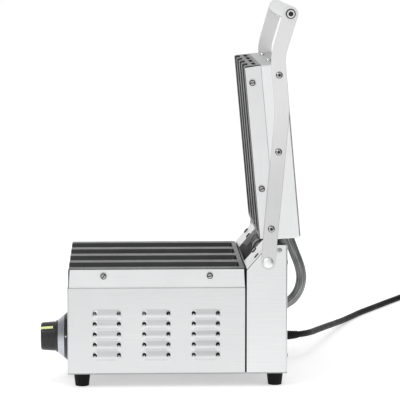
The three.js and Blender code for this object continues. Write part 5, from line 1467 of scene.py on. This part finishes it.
class GRILL_OT_arms(bpy.types.Operator):
    """Bends the lid arms and makes the handle bar and the caps on the hinge"""
    bl_idname = "grill.arms"
    bl_label = "Arms and handle"

    def execute(self, context):
        sizes = context.scene.grill_arms
        self.arms(sizes)
        self.handle(sizes)
        self.bolts(sizes)
        self.caps(sizes, context.scene.grill_hinge)
        return {"FINISHED"}

    def outline(self, sizes):
        """The arm's edge in (reach, rise): round ends, and bends rounded on both sides."""
        centres = [
            Vector((0, 0)), Vector((sizes.elbow_reach, sizes.rise)), Vector((sizes.knee_reach, sizes.rise)),
            Vector((sizes.handle_reach, sizes.handle_rise))]
        halves = [sizes.width / 2] * 3 + [sizes.handle_width / 2]
        bend = 0.012
        headings = [(b - a).normalized() for a, b in zip(centres, centres[1:])]

        def edge(i, sign):
            """Points round one bend, on the side that the sign gives."""
            before, after = headings[i - 1], headings[i]
            points = []
            for k in range(5):
                t = k / 4
                back, ahead = centres[i] - before * bend, centres[i] + after * bend
                middle = back * (1 - t) ** 2 + centres[i] * 2 * t * (1 - t) + ahead * t * t
                way = (before * (1 - t) + after * t).normalized()
                points.append(middle + Vector((-way.y, way.x)) * halves[i] * sign)
            return points

        start = math.degrees(math.atan2(headings[0].y, headings[0].x))
        end = math.degrees(math.atan2(headings[2].y, headings[2].x))
        tail = [Vector(p) for p in curve_points((0, 0), halves[0], start + 90, start + 270, 16)]
        head = [Vector(p) for p in curve_points(centres[3], halves[3], end - 90, end + 90, 16)]
        return [*tail, *edge(1, -1), *edge(2, -1), *head, *reversed(edge(2, 1)), *reversed(edge(1, 1))]

    def arms(self, sizes):
        outline = [Vector((sizes.inner, -p.x, p.y)) for p in self.outline(sizes)]
        arm = prism("arm_bar_right", outline, ACROSS * sizes.thickness)
        holes = ((0, 0, sizes.pivot_hole), (sizes.handle_reach, sizes.handle_rise, sizes.bolt_hole))
        for reach, rise, radius in holes:
            start = Vector((sizes.inner - 2 * sizes.thickness, -reach, rise))
            carve(arm, rod("arm_hole", radius, 5 * sizes.thickness, start, ACROSS, 32))
        ease_edges(arm, sizes.edge, 2, 50)
        moved(arm, LID)
        both_sides(arm, "arm_bar", "lid", "stainless", "arm_bar", "lid_arm", angle=40)

    def handle(self, sizes):
        half, radius, bore = sizes.bar_half, sizes.bar_radius, sizes.bolt_hole
        bored = half - sizes.bolt_depth
        profile = [
            (bore, -half), (radius - 0.0012, -half), (radius - 0.0004, -half + 0.0004), (radius, -half + 0.0012),
            (radius, 0), (radius, half - 0.0012), (radius - 0.0004, half - 0.0004), (radius - 0.0012, half),
            (bore, half), (bore, bored), (0, bored), (0, -bored), (bore, -bored)]
        centre = Vector((0, -sizes.handle_reach, sizes.handle_rise))
        bar = turned("handle_rod", profile, centre, ACROSS, 64, closed=True)
        moved(bar, LID)
        settle(bar, "lid", "stainless", "handle_satin", "handle_bar")

    def bolts(self, sizes):
        """Socket cap screws through the arms into the bar."""
        radius, height, socket = sizes.bolt_radius, sizes.bolt_height, sizes.bolt_socket
        seat = sizes.inner + sizes.thickness + GAP
        thread, end = 0.003, -0.024
        profile = [
            (0, end), (thread - 0.0004, end), (thread, end + 0.0004), (thread, 0), (radius, 0),
            (radius, height - 0.0018), (radius - 0.0004, height - 0.0010), (radius - 0.0011, height - 0.0002),
            (radius - 0.0014, height), (0, height)]
        bolt = turned("handle_bolt_right", profile, Vector(), UP, 64)
        carve(bolt, hexagon("hexagon", socket, 0.0008, height))
        # Painted shade and reflection: the head's rim and the socket's walls take the dark finish.
        rim, shaded = radius - 0.0013, (0.0001, height - 0.0001)
        dark = [face.index for face in bolt.data.polygons if face.center.xy.length > rim
                or face.center.xy.length < socket + 0.0001 and shaded[0] < face.center.z < shaded[1]]
        moved(bolt, LID @ facing(Vector((seat, -sizes.handle_reach, sizes.handle_rise)), ACROSS))
        for piece in both_sides(bolt, "handle_bolt", "lid", "bright", "plated", "handle_screw"):
            piece.data.materials.append(material("dark_element"))
            for i in dark:
                piece.data.polygons[i].material_index = 1

    def caps(self, sizes, hinge):
        """Domed caps on the hinge shaft's ends, and the shaft with its collar."""
        seat = sizes.inner + sizes.thickness + GAP
        dome = [(sizes.cap_radius * math.cos(a), sizes.cap_height * (0.42 + 0.58 * math.sin(a)))
                for a in (math.radians(90 * i / 10) for i in range(11))]
        cap = turned(
            "domed_cap_right", [(0, 0), (sizes.cap_radius - 0.0003, 0), (sizes.cap_radius, 0.0003), *dome],
            Vector((seat, 0, 0)), ACROSS, 64)
        moved(cap, LID)
        both_sides(cap, "domed_cap", "lid", "bright", "cap_plate", "pivot_cap", angle=50)
        end, thick, chamfer = sizes.inner + sizes.thickness, hinge.shaft_radius, 0.0005
        collar, half, collar_chamfer = hinge.collar_radius, hinge.collar_half, 0.0006
        side = [(0, end), (thick - chamfer, end), (thick, end - chamfer), (thick, half),
                (collar - collar_chamfer, half), (collar, half - collar_chamfer)]
        profile = [*side, *[(radius, -height) for radius, height in reversed(side)]]
        shaft = turned("hinge_rod", profile, Vector(), ACROSS, 48)
        moved(shaft, LID)
        settle(shaft, "lid", "bright", "oiled_shaft", "hinge_shaft")


class GRILL_OT_lid_springs(bpy.types.Operator):
    """Winds the springs round the hinge shaft"""
    bl_idname = "grill.lid_springs"
    bl_label = "Lid springs"

    def execute(self, context):
        sizes = context.scene.grill_hinge
        wire, bend = 2 * sizes.spring_wire, 2 * sizes.spring_wire
        start = sizes.collar_half + GAP + wire + bend
        end = sizes.spring_end - wire - bend
        per_curl = 32
        steps = sizes.curls * per_curl
        coil = [PIVOT + Vector((
            start + (end - start) * i / steps, sizes.spring_radius * math.cos(2 * math.pi * i / per_curl),
            sizes.spring_radius * math.sin(2 * math.pi * i / per_curl))) for i in range(steps + 1)]
        first, last = self.leg(coil[0], -UP, -ACROSS, bend, wire), self.leg(coil[-1], UP, ACROSS, bend, wire)
        path = [*reversed(first), *coil, *last]
        right = tube("wound_spring_right", path, lambda along, angle: sizes.spring_wire, 14)
        left = mirrored(right, "wound_spring_left")
        for spring, sign, node in ((right, 1, "lid_spring_right"), (left, -1, "lid_spring_left")):
            settle(spring, None, "spring_steel", "spring_wire", node, angle=60)
            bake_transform(spring)
        return {"FINISHED"}

    def leg(self, point, along, away, bend, wire):
        """The bent end that leads off a coil."""
        bent = [point + along * (bend * math.sin(a)) + away * (bend - bend * math.cos(a))
                for a in (math.radians(90 * i / 6) for i in range(1, 7))]
        return [*bent, bent[-1] + away * wire]


# --- Knob, dial and lamps ---

class GRILL_OT_knob(bpy.types.Operator):
    """Makes the knob, its pointer, the dial and the pilot lamps"""
    bl_idname = "grill.knob"
    bl_label = "Knob and lamps"

    def execute(self, context):
        sizes = context.scene.grill_knob
        self.dial(sizes)
        self.grip(sizes)
        self.lamps(sizes)
        return {"FINISHED"}

    def dial(self, sizes):
        """The black base ring with its mark, and the silver cone on it."""
        ring = turned("dial_base", [
            (sizes.bore, GAP), (sizes.ring_radius - 0.0004, GAP), (sizes.ring_radius, GAP + 0.0005),
            (sizes.ring_radius - 0.0004, 0.0016), (sizes.ring_top_radius + 0.0006, sizes.ring_depth - 0.0005),
            (sizes.ring_top_radius, sizes.ring_depth), (sizes.bore, sizes.ring_depth)],
            KNOB_AXIS, -BACK, 96, closed=True)
        settle(ring, "base", "black_plastic", "dial_black", "dial_ring")
        foot = sizes.ring_depth + GAP
        slope = (sizes.cone_top_radius - sizes.ring_top_radius) / (sizes.cone_depth - sizes.ring_depth)
        foot_radius = sizes.ring_top_radius + slope * GAP
        cone = turned("dial_foil_cone", [
            (sizes.bore, foot), (foot_radius - 0.0003, foot), (foot_radius, foot + 0.0003),
            (sizes.cone_top_radius + 0.0004, sizes.cone_depth - 0.0005),
            (sizes.cone_top_radius - 0.0001, sizes.cone_depth), (sizes.bore, sizes.cone_depth)],
            KNOB_AXIS, -BACK, 96, closed=True)
        settle(cone, "base", "silver", "silver_foil", "dial_cone")
        middle = (sizes.ring_radius + sizes.ring_top_radius) / 2
        half, low, high = 0.0012, -0.0037, -0.0019
        mark = block("ring_mark", (-half, low, middle - half), (half, high, middle + half))
        ease_edges(mark, 0.0003)
        moved(mark, Matrix.Translation(KNOB_AXIS) @ Matrix.Rotation(sizes.mark_angle, 4, "Y"))
        settle(mark, "base", "black_plastic", "white_mark")

    def grip(self, sizes):
        """The grip with its flange, and the pointer line in its groove."""
        foot, bore, bore_depth, dished, dish_radius = sizes.cone_depth + GAP, 0.0033, 0.014, 0.00035, 0.0155
        top = foot + sizes.flange
        tip = curve_points((sizes.tip_radius - sizes.round, sizes.reach - sizes.round), sizes.round, 0, 90, 8)
        flange, root = sizes.flange_radius, sizes.root_radius
        outline = [
            (flange - 0.0003, foot), (flange, foot + 0.0003), (flange, top - 0.0004), (flange - 0.0004, top),
            (root + 0.0005, top), (root, top + 0.0005), *tip]
        grip = turned("knob_body", [
            (bore, foot), *outline, (dish_radius, sizes.reach - dished), (0, sizes.reach - dished),
            (0, foot + bore_depth), (bore, foot + bore_depth)], KNOB_AXIS, -BACK, 96, closed=True)
        carve(grip, self.pointer(sizes, tip, top, GAP, "pointer_groove"))
        line = self.pointer(sizes, tip, top, 0, "pointer_line")
        ease_edges(line, 0.0002)
        to_axis, turn = Matrix.Translation(KNOB_AXIS), Matrix.Rotation(sizes.pointer_angle, 4, "Y")
        for piece in (grip, line):
            moved(piece, to_axis @ turn @ to_axis.inverted())
        settle(grip, "knob", "black_plastic", "dial_black", "knob_grip")
        settle(line, "knob", "pointer", "pointer_paint", "knob_pointer")

    def pointer(self, sizes, tip, foot, widened, name):
        """The pointer line along the grip and over its tip, or the groove that it lies in."""
        deep, stand = 0.0012 + widened, BEYOND if widened else 0.0003
        bottom, end = foot + sizes.pointer_foot - widened, 0.005 - widened
        # At 45 degrees the line stands off by about 0.7 of its height both ways.
        outer = [(sizes.root_radius + stand, bottom), *[(a + stand * 0.7, b + stand * 0.7) for a, b in tip],
                 (end, sizes.reach + stand)]
        inner = [(end, sizes.reach - deep), (sizes.tip_radius - sizes.round, sizes.reach - deep),
                 (sizes.tip_radius - deep, sizes.reach - sizes.round), (sizes.root_radius - deep, bottom)]
        half = sizes.pointer_width / 2 + widened
        points = [KNOB_AXIS + Vector((-half, -b, a)) for a, b in [*outer, *inner]]
        return prism(name, points, ACROSS * 2 * half)

    def lamps(self, sizes):
        """A plated rim and a ribbed lens for each lamp."""
        lamps = (
            ("pilot_lamp_heating", "amber_lamp", "amber_lens"), ("pilot_lamp_power", "green_lamp", "green_lens"))
        for i, (name, finish_name, slot) in enumerate(lamps):
            centre = Vector((sizes.lamp_x - i * sizes.lamp_pitch, FRONT, KNOB_AXIS.z))
            lens_radius, rim = sizes.lamp_radius, sizes.lamp_rim_radius
            bezel = turned(f"{name}_bezel", [
                (lens_radius - 0.0004, 0.0003), (rim - 0.0002, 0.0003), (rim, 0.0005), (rim - 0.0001, 0.0009),
                (rim - 0.0007, 0.0012), (lens_radius, 0.0012), (lens_radius - 0.0004, 0.0009)],
                centre, -BACK, 48, closed=True)
            settle(bezel, "base", "bright", "plated")
            rings = [(lens_radius - 0.0006 - 0.0009 * k, 0.0013 + 0.0003 * k + 0.0002 * (k % 2)) for k in range(4)]
            glass = turned(f"{name}_glass", [
                (0, -0.018), (lens_radius - 0.0006, -0.018), (lens_radius - 0.0005, 0.0008), *rings, (0, 0.0023)],
                centre, -BACK, 48)
            settle(glass, "base", slot, finish_name, name)


# --- Screws ---

class GRILL_OT_screws(bpy.types.Operator):
    """Sets the slotted, socket and small screws"""
    bl_idname = "grill.screws"
    bl_label = "Screws"

    def execute(self, context):
        sizes, arms = context.scene.grill_screws, context.scene.grill_arms
        slotted = self.slotted(sizes)
        rounded = self.socket(arms)
        small = self.cross(sizes.small_radius, sizes.small_height)
        flat = self.cross(sizes.slope_radius, sizes.slope_height)
        washer = self.washer(sizes)
        tall = self.cross(sizes.end_radius, sizes.end_height)
        trim_z, under_z, tower, lid_end = 0.1497, 0.0189, (0.2797, 0.1835), (0.070, 0.028)
        lid_front = -context.scene.grill_lid.front_reach
        for side, sign in (("right", 1), ("left", -1)):
            out, face = ACROSS * sign, sign * SIDE
            for i, (y, turn) in enumerate(((0.0477, 0.9), (0.188, 0.1))):
                self.place(slotted, f"trim_screw_{side}_{i}", spot(face, y, trim_z), out, turn, "base")
            for i, (reach, turn) in enumerate(((0.238, 0.15), (0.098, 0.5))):
                self.place(slotted, f"lid_trim_screw_{side}_{i}", LID @ Vector((face, -reach, GAP)), out, turn, "lid")
            for i, (reach, rise) in enumerate(((0.0443, 0.0081), (0.14465, 0.0264), (0.245, 0.0361))):
                at = LID @ Vector((sign * (arms.inner + arms.thickness), -reach, rise))
                self.place(rounded, f"arm_screw_{side}_{i}", at, out, 0.4 + i, "lid")
            self.place(small, f"tower_screw_{side}", spot(face, *tower), out, 0.3, "base")
            self.place(
                tall, f"lid_end_screw_{side}", LID @ Vector((sign * lid_end[0], lid_front, lid_end[1])),
                LID.to_3x3() @ -BACK, 0.6, "lid", "plated")
            self.slope_screws(flat, washer, side, sign)
            for i, (x, z) in enumerate(((0.125, 0.040), (0.125, 0.165))):
                self.place(small, f"rear_screw_{side}_{i}", spot(sign * x, TOWER_REAR, z), BACK, 0.2 + i, "base")
            for i, y in enumerate((0.060, 0.225)):
                self.place(small, f"under_screw_{side}_{i}", spot(sign * 0.128, y, under_z), -UP, 0.5, "base")
        for master in (slotted, rounded, small, flat, washer, tall):
            bpy.data.objects.remove(master)
        return {"FINISHED"}

    def place(self, master, name, point, direction, turn, body, finish_name="screw_plate"):
        """A screw at its place. Its rim is painted darker as a dark reflection and its recess as painted shade, unless
        it is plated all over.
        """
        screw = copied(master, name, facing(point, direction, turn))
        settle(screw, body, "bright", finish_name, angle=30)
        if finish_name == "plated":
            return
        # Painted shade and reflection: faces near the rim and inside the recess take the dark finish.
        rim, recess, under_top = 0.83, 0.7, 0.9
        radius = max(corner.co.xy.length for corner in master.data.vertices)
        top = max(corner.co.z for corner in master.data.vertices)
        screw.data.materials.append(material("dark_element"))
        for face, own in zip(master.data.polygons, screw.data.polygons):
            out = face.center.xy.length / radius
            own.material_index = int(out > rim or out < recess and 0 < face.center.z < top * under_top)

    def slope_screws(self, flat, washer, side, sign):
        """Two screws on a slope cover, each on its washer."""
        low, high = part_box(f"slope_cover_{side}")
        slope_depth = 0.0272
        foot, head = Vector((0, low.y, low.z)), Vector((0, low.y + slope_depth, high.z))
        along = (head - foot).normalized()
        normal = Vector((0, -along.z, along.y))
        for i, x in enumerate((0.077, 0.129)):
            at = foot.lerp(head, 0.5) + ACROSS * sign * x
            self.place(flat, f"slope_screw_{side}_{i}", at, normal, 0.3 * i, "base", "cap_plate")
            self.place(washer, f"slope_washer_{side}_{i}", at, normal, 0, "base", "spring_wire")

    def washer(self, sizes):
        """Dark ring under a slope screw."""
        inner, outer = sizes.slope_radius + 0.0001, sizes.slope_radius + 0.0010
        return turned("dark_washer", [
            (inner, 0.0001), (outer - 0.0002, 0.0001), (outer, 0.0004), (outer - 0.0002, 0.0009), (inner, 0.0009)],
            Vector(), UP, 32, closed=True)

    def slotted(self, sizes):
        """Pan head with a straight slot."""
        radius, height = sizes.slotted_radius, sizes.slotted_height
        head = turned("slotted_head", [
            (0, -0.0006), (radius - 0.0003, -0.0006), (radius, 0), (radius, height * 0.45),
            (radius - 0.0003, height * 0.72), (radius - 0.0010, height * 0.93), (radius * 0.4, height), (0, height)],
            Vector(), UP, 48)
        half, deep, out = 0.00065, 0.0016, 0.006
        carve(head, block("slot", (-out, -half, height - deep), (out, half, out)))
        return head

    def socket(self, sizes):
        """Button head with a hexagon socket."""
        radius, height = sizes.screw_radius, sizes.screw_height
        head = turned("button_head", [
            (0, -0.0006), (radius, -0.0006), (radius, height * 0.3), (radius * 0.96, height * 0.55),
            (radius * 0.86, height * 0.80), (radius * 0.70, height * 0.96), (radius * 0.5, height), (0, height)],
            Vector(), UP, 48)
        socket, deep, reach = 0.0021, 0.0024, 0.004
        carve(head, hexagon("hexagon", socket, height - deep, reach))
        return head

    def cross(self, radius, height):
        """Pan head with a cross recess."""
        head = turned("cross_head", [
            (0, -0.0005), (radius, -0.0005), (radius, height * 0.5), (radius * 0.90, height * 0.82),
            (radius * 0.66, height * 0.98), (0, height)], Vector(), UP, 32)
        arm, wide, deep, out = radius * 0.42, radius * 0.10, height * 0.4, 0.006
        for a, b in ((arm, wide), (wide, arm)):
            carve(head, block("bar", (-a, -b, deep), (a, b, out)))
        return head


OPERATORS = (
    GRILL_OT_stage, GRILL_OT_mains_lead, GRILL_OT_wiring_hose, GRILL_OT_side_panels, GRILL_OT_tower_sides,
    GRILL_OT_housing_finish, GRILL_OT_castings, GRILL_OT_lid_cover, GRILL_OT_arms, GRILL_OT_lid_springs,
    GRILL_OT_knob, GRILL_OT_feet, GRILL_OT_screws,
)

GROUPS = {
    "grill_stage": StageSettings, "grill_colours": FinishColours, "grill_cords": CordSizes,
    "grill_housing": HousingSizes, "grill_plates": PlateSizes, "grill_lid": LidSizes, "grill_arms": ArmSizes,
    "grill_hinge": HingeSizes, "grill_knob": KnobSizes, "grill_feet": FootSizes, "grill_screws": ScrewSizes,
}


class GRILL_PT_pieces(bpy.types.Panel):
    """Lists the grill's pieces and their sizes"""
    bl_label = "Contact Grill"
    bl_idname = "GRILL_PT_pieces"
    bl_space_type = "VIEW_3D"
    bl_region_type = "UI"
    bl_category = "Grill"

    def draw(self, context):
        for operator in OPERATORS:
            self.layout.operator(operator.bl_idname)
        for name, group in GROUPS.items():
            box = self.layout.box()
            box.label(text=group.__doc__)
            for size in group.__annotations__:
                box.prop(getattr(context.scene, name), size)


def register():
    for group in GROUPS.values():
        bpy.utils.register_class(group)
    for name, group in GROUPS.items():
        setattr(bpy.types.Scene, name, bpy.props.PointerProperty(type=group))
    for operator in OPERATORS:
        bpy.utils.register_class(operator)
    bpy.utils.register_class(GRILL_PT_pieces)


def unregister():
    bpy.utils.unregister_class(GRILL_PT_pieces)
    for operator in reversed(OPERATORS):
        bpy.utils.unregister_class(operator)
    for name in GROUPS:
        delattr(bpy.types.Scene, name)
    for group in reversed(GROUPS.values()):
        bpy.utils.unregister_class(group)


def main():
    register()
    bpy.ops.grill.stage()
    bpy.ops.grill.mains_lead()
    bpy.ops.grill.wiring_hose()
    bpy.ops.grill.side_panels()
    bpy.ops.grill.tower_sides()
    bpy.ops.grill.housing_finish()
    bpy.ops.grill.castings()
    bpy.ops.grill.lid_cover()
    bpy.ops.grill.arms()
    bpy.ops.grill.lid_springs()
    bpy.ops.grill.knob()
    bpy.ops.grill.feet()
    bpy.ops.grill.screws()
    deselect_all()


if __name__ == "__main__":
    main()
